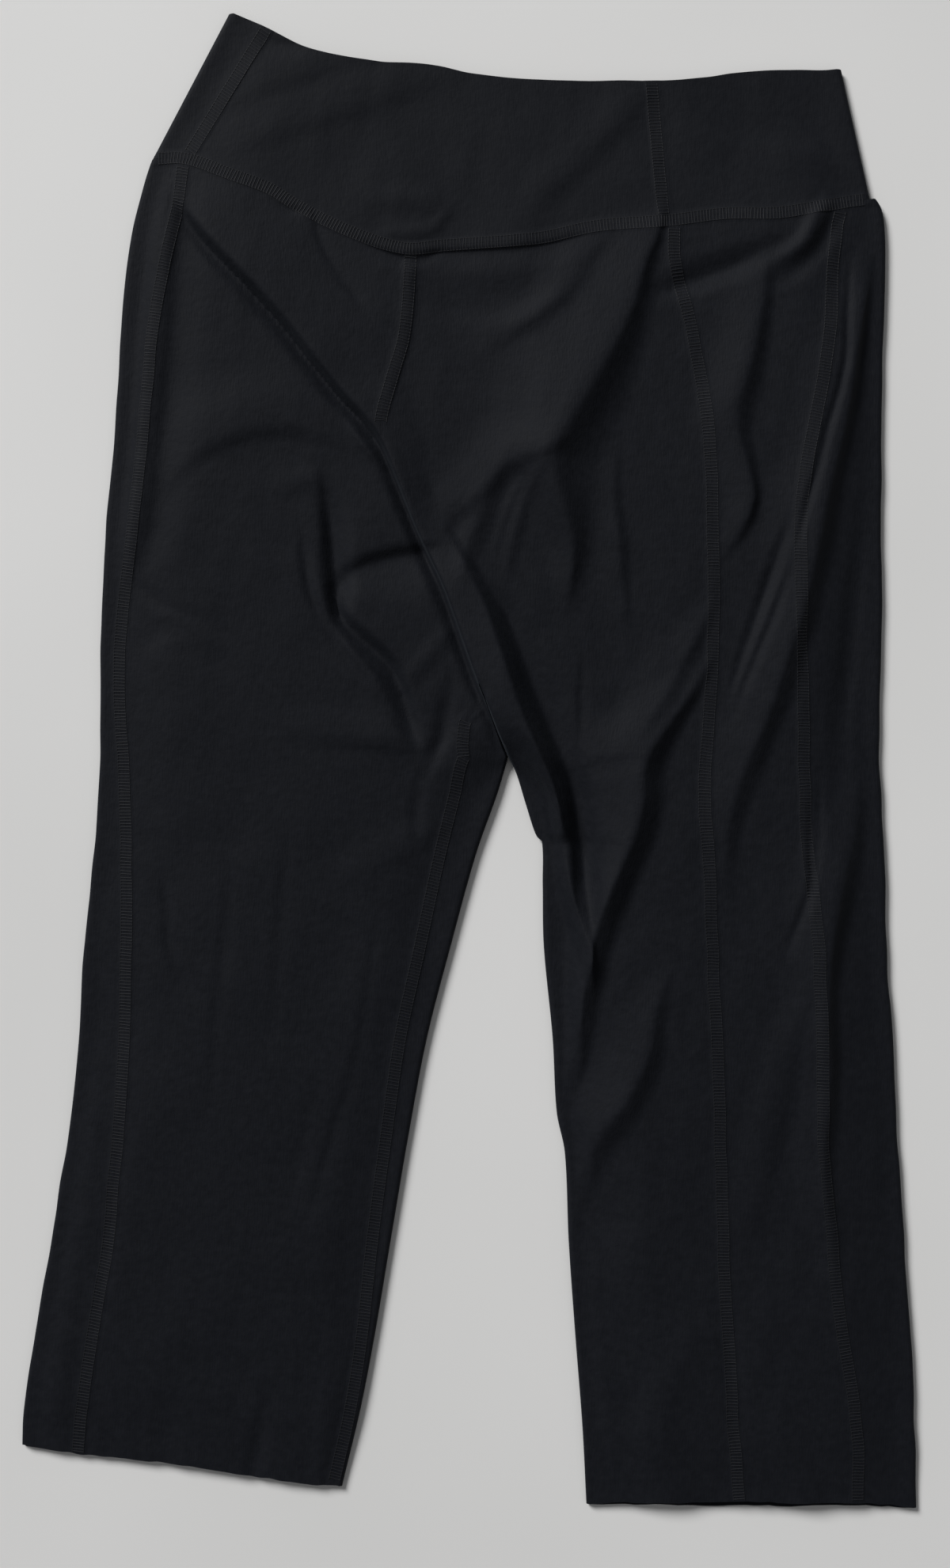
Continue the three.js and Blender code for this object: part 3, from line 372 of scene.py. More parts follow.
        (206, 272, 0, 3, 3), (203, 242, -1.4, 4, 4), (202, 220, -1.6, 4, 4), (198, 200, -1.6, 4, 4),
        (192, 180, -1.6, 4, 4), (187, 160, -1.4, 4, 4), (181, 140, -1.3, 4, 4), (174, 112, 0, 3, 3)]),
    fold(0.15, 0.5, 0, [
        (173, 134, 0, 4, 4), (166, 112, -1.5, 6, 6), (160, 94, -1.9, 6, 6), (153, 74, -1.6, 6, 6),
        (146, 54, -1.1, 5, 5), (139, 32, 0, 4, 4)]),
    fold(0.15, 0.5, 0, [
        (173, 108, 0, 3, 4), (165, 84, -0.9, 4, 5), (157, 64, -1.1, 4, 5), (149, 44, -0.8, 4, 5),
        (142, 24, 0, 3, 4)]),
    fold(0.5, 0.6, 0, [
        (215, 138, 0, 9, 7), (210, 95, -1.3, 10, 8), (205, 55, -1.5, 10, 9), (201, 20, -1.2, 10, 9),
        (199, -30, 0, 9, 7)]),
    # the right calf
    fold(0.2, 0.6, 0, [
        (184, -14, 0, 3, 4), (183.5, -45, -1.2, 4, 6), (183, -68, -1.4, 4, 6), (178, -84, -1.1, 4, 6),
        (168, -110, 0, 4, 5)]),
    fold(0.2, 0.6, 0, [
        (189, -4, 0, 3, 4), (188.5, -28, -1, 4, 5), (188, -46, -0.8, 4, 5), (186, -66, 0, 3, 4)]),
    fold(0.15, 0.45, -1, [
        (212, -6, 0, 12, 8), (206, -38, 2.6, 26, 12), (201, -58, 4.2, 30, 13.5),
        (197, -78, 4.8, 30, 12.5), (193.5, -98, 4.8, 28, 10.5), (191.5, -120, 4.8, 26, 9),
        (191.5, -145, 4.8, 25, 9), (192.5, -165, 4.4, 24, 9), (191, -190, 3.8, 23, 10),
        (189, -212, 3.2, 20, 11), (190, -235, 2.8, 15, 11), (194, -256, 1.6, 13, 10),
        (197, -290, 0, 10, 8)]),
    fold(0.5, 0.6, 0, [
        (182, -118, 0, 10, 6), (172, -146, 1, 15, 10), (167, -170, 1.5, 18, 13),
        (163, -190, 1.6, 18, 14), (158, -212, 1.4, 17, 13), (153, -234, 0.9, 15, 12),
        (147, -264, 0, 10, 9)]),
    fold(0.5, 0.6, 0, [
        (137, -292, 0, 7, 7), (141, -322, -0.9, 9, 11), (143, -348, -1, 9, 12), (146, -376, 0, 7, 9)]),
    fold(0.5, 0.6, 0, [
        (162, -276, 0, 12, 10), (156, -305, 0.8, 15, 17), (152, -328, 0.9, 15, 19),
        (149, -352, 0, 12, 12)]),
    fold(0.5, 0.6, 0, [
        (163, -338, 0, 12, 10), (170, -360, 0.7, 15, 13), (176, -380, 1, 15, 14),
        (182, -400, 0.9, 14, 14), (186, -412, 0.7, 12, 12)]),
    fold(0.4, 0.6, 0, [
        (124, -304, 0, 12, 10), (110, -330, 0.9, 18, 17), (102, -350, 1.4, 20, 22),
        (101, -370, 1.5, 20, 24), (103, -390, 1.4, 20, 24), (106, -410, 1.3, 18, 22)]),
    fold(0.4, 0.6, 0, [
        (67, -246, 0, 8, 9), (64, -280, 0.8, 7, 18), (64, -310, 1.2, 6, 22), (68, -340, 1, 8, 20),
        (73, -378, 0, 9, 13)]),
    # the left leg, which lies almost flat
    fold(0.3, 0.6, 0, [
        (-167, -50, 0, 5, 5), (-163, -80, -0.9, 6, 7), (-162, -98, -0.9, 6, 7),
        (-156, -116, -0.6, 6, 7), (-142, -136, 0, 5, 6)]),
    fold(0.3, 0.6, 0, [
        (-48, -76, 0, 4, 5), (-55, -125, -0.5, 5, 7), (-60, -155, -0.4, 5, 7), (-66, -178, -0.4, 5, 7),
        (-74, -202, -0.6, 5, 8), (-80, -224, -0.5, 5, 8), (-90, -258, 0, 5, 7)]),
    fold(0.4, 0.6, 0, [(-84, -184, 0, 6, 6), (-92, -215, -0.4, 7, 9), (-102, -252, 0, 7, 7)]),
    fold(0.4, 0.6, 0, [
        (-107, -336, 0, 7, 7), (-113, -362, -1, 8, 9), (-116, -380, -1.2, 8, 9),
        (-118, -400, -1.1, 8, 9)]),
    fold(0.4, 0.6, 0, [
        (-73, -306, 0, 7, 10), (-76, -340, 0.8, 10, 15), (-79, -364, 1.1, 10, 17),
        (-80, -396, 1.1, 10, 17)]),
    fold(0.6, 0.6, 0, [
        (-160, -326, 0, 10, 10), (-163, -352, -0.7, 11, 11), (-165, -374, -0.6, 11, 11),
        (-166, -396, -0.5, 10, 10)]),
    fold(0.4, 0.6, 0, [
        (-194, -100, 0, 10, 12), (-204, -190, 0.8, 14, 15), (-212, -260, 1.3, 17, 17),
        (-222, -320, 1.5, 18, 18), (-225, -404, 1.5, 16, 18)]),
    fold(0.4, 0.6, 0, [
        (-128, -40, 0, 5, 6), (-131, -90, -0.5, 6, 8), (-136, -140, -0.6, 6, 8),
        (-140, -196, 0, 5, 7)]),
    fold(0.4, 0.6, 0, [
        (-96, -30, 0, 5, 6), (-101, -72, -0.5, 6, 8), (-103, -116, -0.4, 6, 8), (-110, -160, 0, 5, 7)]),
    fold(0.4, 0.6, 0, [
        (-186, -180, 0, 5, 6), (-190, -230, -0.5, 7, 8), (-198, -280, -0.5, 7, 8),
        (-204, -330, 0, 6, 7)]),
    # the waistband
    fold(0.4, 0.6, 0, [
        (-118, 393, 0, 6, 5), (-106, 388, -1, 8, 7), (-96, 386, -0.8, 8, 7), (-82, 385, 0, 6, 5)]),
    fold(0.5, 0.6, 0, [
        (-136, 356, 0, 10, 16), (-116, 365, 0.7, 12, 20), (-94, 373, 0.9, 12, 19),
        (-70, 380, 0.5, 10, 14), (-48, 384, 0, 8, 9)]),
    fold(0.5, 0.6, 0, [
        (-132, 332, 0, 12, 18), (-108, 342, 0.8, 14, 24), (-80, 351, 1, 14, 25),
        (-52, 360, 0.9, 14, 22), (-24, 368, 0.4, 11, 16), (4, 372, 0, 8, 10)]),
    fold(0.5, 0.6, 0, [
        (-58, 302, 0, 7, 8), (-38, 304, 0.8, 10, 11), (-22, 302, 0.8, 10, 11), (-10, 295, 0, 6, 7)]),
    fold(0.3, 0.5, 0, [
        (-54, 284, 0, 4, 5), (-38, 284.5, 0.8, 5, 7), (-22, 286, 0.8, 5, 7), (-15, 292, 0.6, 5, 6),
        (-8, 302, 0, 4, 5)]),
    fold(0.2, 0.5, 0, [
        (-64, 283, 0, 4, 3), (-50, 275.5, -1, 6, 4), (-36, 271, -1.3, 8, 4), (-24, 271, -1, 6, 4),
        (-14, 276, 0, 4, 3)]),
    fold(0.4, 0.6, 0, [
        (100, 366, 0, 12, 8), (82, 348, 0.9, 20, 12), (63, 329, 1.2, 22, 14), (46, 312, 1, 20, 13),
        (30, 296, 0, 14, 9)]),
    fold(0.6, 0.6, 0, [
        (112, 352, 0, 12, 24), (140, 348, -1.1, 16, 30), (170, 342, -1.4, 16, 34),
        (196, 336, 0, 12, 26)]),
    fold(0.4, 0.6, 0, [
        (174, 354, 0, 6, 6), (186, 343, -0.9, 8, 8), (196, 334, -0.9, 8, 8), (206, 324, 0, 6, 6)]),
    fold(0.3, 0.5, 0, [(-106, 301, 0, 4, 4), (-97, 297, -1, 5, 5), (-88, 296, 0, 4, 4)]),
]


# The underside lies on the table but for a few soft places where it lifts off, in the same form
UNDER_FOLDS = [
    fold(0.5, 0.6, 0, [
        (-158, 296, 0, 10, 8), (-124, 262, 1.6, 12, 13), (-88, 226, 2, 12, 14), (-52, 188, 1.3, 10, 11),
        (-26, 158, 0, 7, 7)]),
    fold(0.5, 0.6, 0, [
        (132, 288, 0, 8, 8), (112, 250, 1.7, 12, 14), (90, 206, 2.2, 12, 14), (70, 160, 1.7, 11, 12),
        (56, 116, 0.9, 9, 9), (46, 82, 0, 7, 7)]),
    fold(0.4, 0.6, 0, [
        (10, 252, 0, 7, 7), (22, 222, 1, 9, 10), (36, 186, 1.2, 9, 10), (44, 150, 0, 7, 7)]),
    fold(0.4, 0.6, 0, [
        (196, 226, 0, 7, 8), (188, 182, 1.6, 10, 12), (178, 132, 2, 10, 12), (170, 84, 1.2, 9, 11),
        (164, 48, 0, 7, 7)]),
    fold(0.5, 0.6, 0, [
        (-162, 148, 0, 8, 8), (-140, 108, 1.2, 10, 11), (-122, 62, 1.4, 10, 11), (-112, 20, 0, 8, 8)]),
    fold(0.4, 0.6, 0, [
        (-78, 152, 0, 7, 7), (-60, 112, 1.3, 9, 10), (-38, 74, 1.1, 9, 9), (-20, 44, 0, 7, 7)]),
    fold(0.4, 0.6, 0, [
        (104, 66, 0, 7, 8), (94, 14, 1.4, 10, 12), (86, -48, 2, 10, 12), (82, -112, 1.2, 9, 11),
        (80, -156, 0, 7, 7)]),
    fold(0.5, 0.6, 0, [
        (188, -24, 0, 8, 8), (192, -84, 1.2, 11, 12), (196, -150, 1.7, 12, 12), (192, -222, 1, 10, 11),
        (188, -276, 0, 8, 8)]),
    fold(0.5, 0.6, 0, [
        (128, -228, 0, 8, 8), (120, -278, 1, 11, 11), (112, -336, 1.1, 11, 11), (108, -382, 0, 8, 8)]),
    fold(0.5, 0.6, 0, [
        (-84, -12, 0, 8, 8), (-96, -66, 1, 10, 11), (-104, -124, 0.8, 10, 10), (-108, -168, 0, 8, 8)]),
    fold(0.5, 0.6, 0, [
        (-172, -92, 0, 8, 8), (-182, -158, 1.1, 11, 12), (-192, -226, 1.2, 11, 12),
        (-202, -296, 0, 8, 8)]),
    fold(0.5, 0.6, 0, [(-88, -232, 0, 8, 8), (-102, -290, 0.8, 10, 11), (-112, -346, 0, 8, 8)]),
    fold(0.5, 0.6, 0, [
        (-116, 338, 0, 10, 9), (-58, 352, 0.8, 12, 12), (14, 348, 1, 12, 12), (72, 340, 0, 10, 9)]),
    fold(0.5, 0.6, 0, [(108, 322, 0, 9, 9), (142, 332, 0.8, 11, 11), (176, 336, 0, 9, 9)]),
]


def mix(a, b, share):
    return a + (b - a) * share


def smooth(value, low, high):
    share = np.clip((value - low) / (high - low), 0, 1)
    return share * share * (3 - 2 * share)


def curve(rows, key, value):
    """A smooth curve through one column of a table, by another column that rises or falls steadily."""
    at, of = (np.array(side, float) for side in zip(*sorted((row[key], row[value]) for row in rows)))
    last = len(at) - 1
    before = np.maximum(np.arange(last + 1) - 1, 0)
    after = np.minimum(np.arange(last + 1) + 1, last)
    slopes = (of[after] - of[before]) / (at[after] - at[before])

    def value_at(places):
        places = np.clip(places, at[0], at[-1])
        i = np.clip(np.searchsorted(at, places) - 1, 0, last - 1)
        width = at[i + 1] - at[i]
        t = (places - at[i]) / width
        start = of[i] * (1 + 2 * t) * (1 - t) ** 2 + slopes[i] * width * t * (1 - t) ** 2
        end = of[i + 1] * (3 - 2 * t) * t ** 2 - slopes[i + 1] * width * (1 - t) * t ** 2
        return start + end

    return value_at


def wandering(line, lift, length, seed):
    """A line with the small uneven wander of cloth, as smooth noise along it."""
    lattice = np.random.RandomState(seed).uniform(-1, 1, WANDER_LATTICE)

    def line_at(places):
        step = np.asarray(places) / length + WANDER_LATTICE // 2
        i = np.floor(step).astype(int)
        low, high = lattice[i % WANDER_LATTICE], lattice[(i + 1) % WANDER_LATTICE]
        return line(places) + lift * mix(low, high, smooth(step - i, 0, 1))

    return line_at


left_edge = wandering(curve(LEFT, "y", "outer"), 0.45, 19, 21)
right_edge = wandering(curve(RIGHT, "y", "outer"), 0.45, 17, 22)
left_strip = curve(LEFT, "y", "strip")
left_under = curve(LEFT, "y", "under")
left_inseam_in = curve(LEFT, "y", "inseam")
left_crown = curve(LEFT, "y", "crown")
right_crown = curve(RIGHT, "y", "crown")
right_front = curve(RIGHT, "y", "front")
right_back = curve(RIGHT, "y", "back")
right_under = curve(RIGHT, "y", "under")
centre_seam = curve([row for row in LEFT if row["y"] >= FORK_Y], "y", "inner")
left_leg = curve([row for row in LEFT if row["y"] <= FORK_Y], "y", "inner")
right_leg = curve(RIGHT_INNER, "y", "inner")
band_seam = curve(BAND_SEAM, "x", "y")
waist_edge = wandering(curve(WAIST_EDGE, "x", "y"), 0.5, 16, 23)
left_hem = wandering(curve(LEFT_HEM, "x", "y"), 0.45, 6, 24)
right_hem = wandering(curve(RIGHT_HEM, "x", "y"), 0.45, 6, 25)
front_seam = curve(FRONT_SEAM, "y", "x")


def left_inner(y):
    return np.where(y > FORK_Y, centre_seam(y), left_leg(y))


def right_inner(y):
    return np.where(y > FORK_Y, centre_seam(y), right_leg(y))


def bow(rows, x):
    """A bow between two ends of a table's line, used to set a hidden layer a little lower."""
    share = (x - rows[0]["x"]) / (rows[-1]["x"] - rows[0]["x"])
    return np.sin(np.pi * np.clip(share, 0, 1))


def chord(rows, x):
    return mix(rows[0]["y"], rows[-1]["y"], (x - rows[0]["x"]) / (rows[-1]["x"] - rows[0]["x"]))


def band_seam_under(x):
    return chord(BAND_SEAM, x) - UNDER_SEAM_DROP * bow(BAND_SEAM, x)


def waist_edge_under(x):
    return chord(WAIST_EDGE, x) - UNDER_WAIST_DROP * bow(WAIST_EDGE, x)


def right_hem_under(x):
    return right_hem(x) - UNDER_HEM_DROP * bow(RIGHT_HEM, x) ** 0.5


def spline(points):
    """A smooth path through a fold's points, as short straight runs."""
    points = np.array(points, float)
    last = len(points) - 1
    place = np.linspace(0, last, FOLD_STEPS * last + 1)
    i = np.minimum(place.astype(int), last)
    t = (place - i)[:, None]
    p0, p1 = points[np.maximum(i - 1, 0)], points[i]
    p2, p3 = points[np.minimum(i + 1, last)], points[np.minimum(i + 2, last)]
    v0, v1 = (p2 - p0) / 2, (p3 - p1) / 2
    return (2 * p1 - 2 * p2 + v0 + v1) * t ** 3 + (3 * p2 - 3 * p1 - 2 * v0 - v1) * t ** 2 + v0 * t + p1


def prepared(fold):
    path = spline(fold["line"])
    reach = path[:, 3:].max()
    low, high = path[:, :2].min(0) - reach, path[:, :2].max(0) + reach
    return {**fold, "path": path, "low": low, "high": high}


FOLD_PATHS = [prepared(row) for row in FOLDS]
UNDER_PATHS = [prepared(row) for row in UNDER_FOLDS]


def flank(share, crest, foot):
    """Falls from 1 at the line to 0 at the foot, evenly but for a rounded start and end."""
    foot = np.minimum(foot, 1 - crest)
    first = share ** 2 / (2 * crest)
    middle = share - crest / 2
    whole = 1 - crest / 2 - foot / 2
    last = whole - (1 - share) ** 2 / (2 * foot)
    fallen = np.where(share < crest, first, np.where(share > 1 - foot, last, middle))
    return 1 - fallen / whole


def fold_at(fold, x, y):
    """One fold's height at each place, its share of its rise, and the direction of its left side."""
    a = fold["path"][:-1, :, None]
    step = fold["path"][1:, :, None] - a
    run = np.hypot(step[:, 0], step[:, 1])
    t = np.clip(((x - a[:, 0]) * step[:, 0] + (y - a[:, 1]) * step[:, 1]) / run ** 2, 0, 1)
    near = np.hypot(x - a[:, 0] - t * step[:, 0], y - a[:, 1] - t * step[:, 1])
    best = near.argmin(0)
    gap = near[best, np.arange(len(x))]
    dx, dy, run = step[best, 0, 0], step[best, 1, 0], run[best, 0]
    side = (x - a[best, 0, 0]) * dy - (y - a[best, 1, 0]) * dx
    share = np.exp((gap - near) / BLEND)
    share /= share.sum(0)
    rise, left, right = ((share * (a[:, i] + t * step[:, i])).sum(0) for i in (2, 3, 4))
    width = np.maximum(np.where(side > 0, left, right), 2 * LEAST_ROUND)
    crest = np.maximum(fold["crest"], LEAST_ROUND / width)
    weight = flank(np.minimum(gap / width, 1), crest, fold["foot"])
    return rise * weight, weight * np.minimum(np.abs(rise) / FULL_LEAN, 1), dy / run, -dx / run


def folds_at(x, y, paths):
    """The sum of folds: height, and how far the cloth leans over along X and Y."""
    total = np.zeros((3, x.size))
    flat_x, flat_y = x.ravel(), y.ravel()
    for fold in paths:
        near = np.flatnonzero(
            (flat_x > fold["low"][0]) & (flat_x < fold["high"][0])
            & (flat_y > fold["low"][1]) & (flat_y < fold["high"][1]))
        if len(near):
            height, weight, to_x, to_y = fold_at(fold, flat_x[near], flat_y[near])
            total[0, near] += height
            total[1, near] += fold["lean"] * weight * to_x
            total[2, near] += fold["lean"] * weight * to_y
    return total.reshape(3, *x.shape)


# Small uneven waves that hand-laid knit keeps: height, lengths across and along, and turn in degrees
WAVES = table(
    "lift across along turn seed",
    (0.9, 46, 80, 12, 3), (0.45, 24, 40, -24, 5), (0.24, 12, 19, 33, 7), (0.12, 8, 40, -11, 9),
    (0.1, 9, 26, 68, 13), (0.06, 5, 7, 41, 17))


def waves_at(x, y):
    """Smooth noise on a fixed lattice for each of the wave sizes."""
    total = np.zeros(x.shape)
    for wave in WAVES:
        lattice = np.random.RandomState(wave["seed"]).uniform(-1, 1, (WAVE_LATTICE, WAVE_LATTICE))
        turn = math.radians(wave["turn"])
        u = (x * math.cos(turn) + y * math.sin(turn)) / wave["across"] + WAVE_START
        v = (y * math.cos(turn) - x * math.sin(turn)) / wave["along"] + WAVE_START
        i, j = np.floor(u).astype(int), np.floor(v).astype(int)
        s, t = smooth(u - i, 0, 1), smooth(v - j, 0, 1)
        i, j, k, l = (n % WAVE_LATTICE for n in (i, j, i + 1, j + 1))
        low = mix(lattice[i, j], lattice[k, j], s)
        high = mix(lattice[i, l], lattice[k, l], s)
        total += wave["lift"] * mix(low, high, t)
    return total


def inner_roll(y):
    return mix(CROTCH_ROLL, EDGE_ROLL, smooth(CROTCH_Y - y, 0, TUBE_GROWTH))


def inset(x, y, leg):
    """The distance in from the folded edges that a leg, or above the crotch the body, has at a place."""
    outer = np.minimum(x - left_edge(y), right_edge(y) - x) - EDGE_ROLL
    inner = left_inner(y) - x if leg == "left" else x - right_inner(y)
    opening = CROWN_REACH * (1 - smooth(CROTCH_Y - y, 0, TUBE_GROWTH))
    return np.where(y >= CROTCH_Y, outer, np.minimum(outer, inner - inner_roll(y) + opening))


# The garment's long seams on the upper side
def left_side(y):
    return left_edge(y) + left_strip(y)


def left_inseam(y):
    from_edge = left_inseam_in(y) * smooth(CROTCH_Y - y, 0, INSEAM_GROWTH)
    return left_inner(y) - np.maximum(from_edge, 2 * CROTCH_ROLL)


def right_front_line(y):
    return right_edge(y) - right_front(y)


def right_back_line(y):
    return right_edge(y) - right_back(y)


def across_seam(seam, x, y):
    """The distance from a long seam, square to it."""
    slope = (seam(y + 1) - seam(y - 1)) / 2
    return np.abs(x - seam(y)) / np.hypot(1, slope)


def ridge(distance):
    return smooth(SEAM_HALF + SEAM_SOFT - distance, 0, SEAM_SOFT)


def seam_rise(x, y, leg):
    """The flat raised bands of the seams on the upper side."""
    on_legs = smooth(band_seam(x) + SEAM_HALF - y, 0, 1)
    side = ridge(across_seam(left_side, x, y))
    side = np.maximum(side, ridge(across_seam(right_front_line, x, y)))
    side = np.maximum(side, ridge(across_seam(right_back_line, x, y)))
    centre = ridge(across_seam(centre_seam, x, y)) * smooth(y, *CENTRE_SEAM_FADE)
    side = np.maximum(side, centre)
    if leg == "left":
        inseam = ridge(across_seam(left_inseam, x, y)) * smooth(CROTCH_Y - y, *INSEAM_FADE)
        side = np.maximum(side, inseam)
    slope = (band_seam(x + 1) - band_seam(x - 1)) / 2
    cross = ridge(np.abs(y - band_seam(x)) / np.hypot(1, slope))
    up = np.clip((y - band_seam(x)) / (waist_edge(x) - band_seam(x)), 0, 1)
    on_band = 1 - on_legs
    for name in BAND_SEAMS:
        at = mix(band_x(BAND_SEAMS[name][0], 0), band_x(BAND_SEAMS[name][1], 1), up)
        cross = np.maximum(cross, ridge(np.abs(x - at)) * on_band)
    return SEAM_RISE * np.maximum(side * on_legs, cross)


BAND_LOWER = (BAND_SEAM[0]["x"] + 0.8, BAND_SEAM[-1]["x"] - 4.4)
BAND_WAIST = (WAIST_EDGE[0]["x"], WAIST_EDGE[-1]["x"])


def band_x(across, up, margin=0):
    low = mix(BAND_LOWER[0] + margin, BAND_LOWER[1] - margin, across)
    high = mix(BAND_WAIST[0] + margin, BAND_WAIST[1] - margin, across)
    return mix(low, high, up)


def upper(x, y, leg, knit):
    """The outside of the upper layer over flat places of the pattern, moved by the folds."""
    from_edge = inset(x, y, leg)
    centre = left_inner(y)
    share = smooth(x, centre - CENTRE_REACH, centre + CENTRE_REACH)
    if leg != "body":
        share = mix(share, float(leg == "right"), smooth(CROTCH_Y - y, 0, TUBE_GROWTH))
    crown = mix(left_crown(y), right_crown(y), share) * smooth(from_edge, 0, CROWN_REACH)
    rise, lean_x, lean_y = folds_at(x, y, FOLD_PATHS)
    free = smooth(from_edge, 0, EDGE_REACH)
    least = 2 * knit + LAYER_GAP
    hem = left_hem(x) if leg == "left" else right_hem(x)
    sink = HEM_SINK * (1 - smooth(y - hem, 0, HEM_REACH))
    above = EDGE_HEIGHT + (crown + rise + waves_at(x, y)) * free - sink - least
    height = least + 0.5 * (above + np.hypot(above, 1)) + seam_rise(x, y, leg)
    return np.stack([x + lean_x * free, y + lean_y * free, height], -1)


def shell(outer, knit):
    """The inside of a fine grid of outside points, one thickness in."""
    down, across = np.gradient(outer, axis=0), np.gradient(outer, axis=1)
    normal = np.cross(across, down)
    normal /= np.linalg.norm(normal, axis=-1, keepdims=True)
    normal *= np.where(normal[..., 2:3] < 0, -1, 1)
    return outer - knit * normal


class Line:
    """A long line of the garment on one layer, with where it meets the waistband and its hem."""

    def __init__(self, x_at, seam, hem):
        self.x_at, self.seam, self.hem = x_at, seam, hem
        self.top = self.meet(FIRST_TOP, seam)
        self.foot = self.meet(FIRST_FOOT, hem)

    def meet(self, y, cross):
        for _ in range(ROUNDS):
            y = float(cross(self.x_at(np.float64(y))))
        return float(self.x_at(np.float64(y))), y


def fine_shares(width, fine_start=True, fine_end=True, cell=CELL):
    """Shares of the way across, with small steps by a seam and wider ones between."""
    ends = FINE_CELL * FINE_CELLS * (fine_start + fine_end)
    count = max(2, round((width - ends) / cell))
    middle = [max(width - ends, cell) / count] * count
    steps = [FINE_CELL] * FINE_CELLS * fine_start + middle + [FINE_CELL] * FINE_CELLS * fine_end
    places = np.r_[0, np.cumsum(steps)]
    return places / places[-1]


BODY_SHARES = fine_shares(BODY_LENGTH, fine_end=False)
LEG_SHARES = fine_shares(LEG_LENGTH, fine_start=False, fine_end=False)
CROTCH_ROW = len(BODY_SHARES) - 1


def levels(top, foot):
    """The levels of all rows of columns that start at the waistband seam and end at the hem."""
    top, foot = np.atleast_1d(top), np.atleast_1d(foot)
    body = mix(top, CROTCH_Y, BODY_SHARES[:, None])
    leg = mix(CROTCH_Y, foot, LEG_SHARES[1:, None])
    return np.vstack([body, leg])


def between(start, end, shares):
    """Flat places of all rows on the columns at shares of the way from one line to another."""
    shares = np.asarray(shares)[None, :]
    top = start.seam(mix(start.top[0], end.top[0], shares[0])) - SEAM_GAP / 2
    foot = start.hem(mix(start.foot[0], end.foot[0], shares[0]))
    x_start = start.x_at(levels(start.top[1], start.foot[1]))
    x_end = end.x_at(levels(end.top[1], end.foot[1]))
    return mix(x_start, x_end, shares), levels(top, foot)


ROLL_ANGLES = 90 - 180 * np.arange(1, ROLL_STEPS) / ROLL_STEPS
EMPTY = -1e6


def blank_body(outer, inner):
    """Takes away the rows above the crotch, where a leg's own part of a panel hasn't begun."""
    outer[:CROTCH_ROW], inner[:CROTCH_ROW] = EMPTY, EMPTY
    return outer, inner


def upper_zone(start, end, shares, leg, knit=KNIT):
    outer = upper(*between(start, end, shares), leg, knit)
    return outer, shell(outer, knit)


def under_zone(start, end, shares, leg):
    x, y = between(start, end, shares)
    return under_wall(x, y, leg, KNIT)


def under_wall(x, y, leg, knit):
    """The underside rests on the table, but for its soft creases, which stay clear of the upper layer."""
    room = upper(x, y, leg, knit)[..., 2] - 2 * knit - LAYER_GAP / 2
    waves = waves_at(x + UNDER_WAVE_SHIFT[0], y + UNDER_WAVE_SHIFT[1])
    crease = folds_at(x, y, UNDER_PATHS)[0] + UNDER_WAVE * smooth(waves, *UNDER_WAVE_RANGE)
    wanted = UNDER_LIFT + crease * smooth(inset(x, y, leg), 0, EDGE_REACH)
    lift = np.minimum(wanted, np.maximum(room, UNDER_LIFT))
    outer = np.stack([x, y, lift], -1)
    return outer, np.stack([x, y, lift + knit], -1)


def roll_zone(x_edge, y, towards, roll, height, knit, angles):
    """A folded edge: half an ellipse from the upper layer, at angle 90, to the underside, at -90."""
    angle = np.radians(angles)[None, :]
    x_edge, y, roll, height = (np.asarray(v)[:, None] for v in (x_edge, y, roll, height))
    middle, half = (height + UNDER_LIFT) / 2, (height - UNDER_LIFT) / 2

    def at(across, tall):
        x = x_edge - towards * roll + towards * across * np.cos(angle)
        return np.stack([x, y + 0 * angle, middle + tall * np.sin(angle)], -1)

    return at(roll, half), at(np.maximum(roll - knit, THINNEST), half - knit)


def leg_roll(edge, towards, leg, roll_at, angles, knit=KNIT):
    y = levels(edge.top[1] - SEAM_GAP / 2, edge.foot[1])[:, 0]
    x, roll = edge.x_at(y), roll_at(y)
    top = upper(x - towards * roll, y, leg, knit)[:, 2]
    return roll_zone(x, y, towards, roll, top, knit, angles)


def side_roll(y):
    return np.full(np.shape(y), EDGE_ROLL)


GAP = SEAM_GAP / 2


def in_body(y):
    return y > CROTCH_Y + 1


def moved(x_at, by):
    return lambda y: x_at(y) + by


def left_centre(y):
    return np.where(in_body(y), left_inner(y), left_inseam(y))


def left_hidden(y):
    return left_edge(y) + left_under(y)


def left_under_inner(y):
    return np.where(in_body(y), front_seam(y), left_inner(y) - inner_roll(y)) - GAP


def right_hidden(y):
    return np.where(in_body(y), front_seam(y), right_inner(y) + inner_roll(y) + right_under(y))


def right_upper_inner(y):
    return right_inner(y) + GAP + np.where(in_body(y), 0, inner_roll(y))


def back_left():
    side = Line(moved(left_side, GAP), band_seam, left_hem)
    centre = Line(moved(left_centre, -GAP), band_seam, left_hem)
    return [upper_zone(side, centre, fine_shares(170, cell=1.7), "left")]


def side_left():
    top = Line(moved(left_side, -GAP), band_seam, left_hem)
    edge = Line(left_edge, band_seam, left_hem)
    edge_top = Line(moved(left_edge, EDGE_ROLL), band_seam, left_hem)
    edge_under = Line(moved(left_edge, EDGE_ROLL), band_seam_under, left_hem)
    under = Line(moved(left_hidden, -GAP), band_seam_under, left_hem)
    return [
        upper_zone(top, edge_top, fine_shares(20, fine_end=False, cell=1.6), "left"),
        leg_roll(edge, -1, "left", side_roll, ROLL_ANGLES),
        under_zone(edge_under, under, fine_shares(46, fine_start=False, cell=3), "left"),
    ]


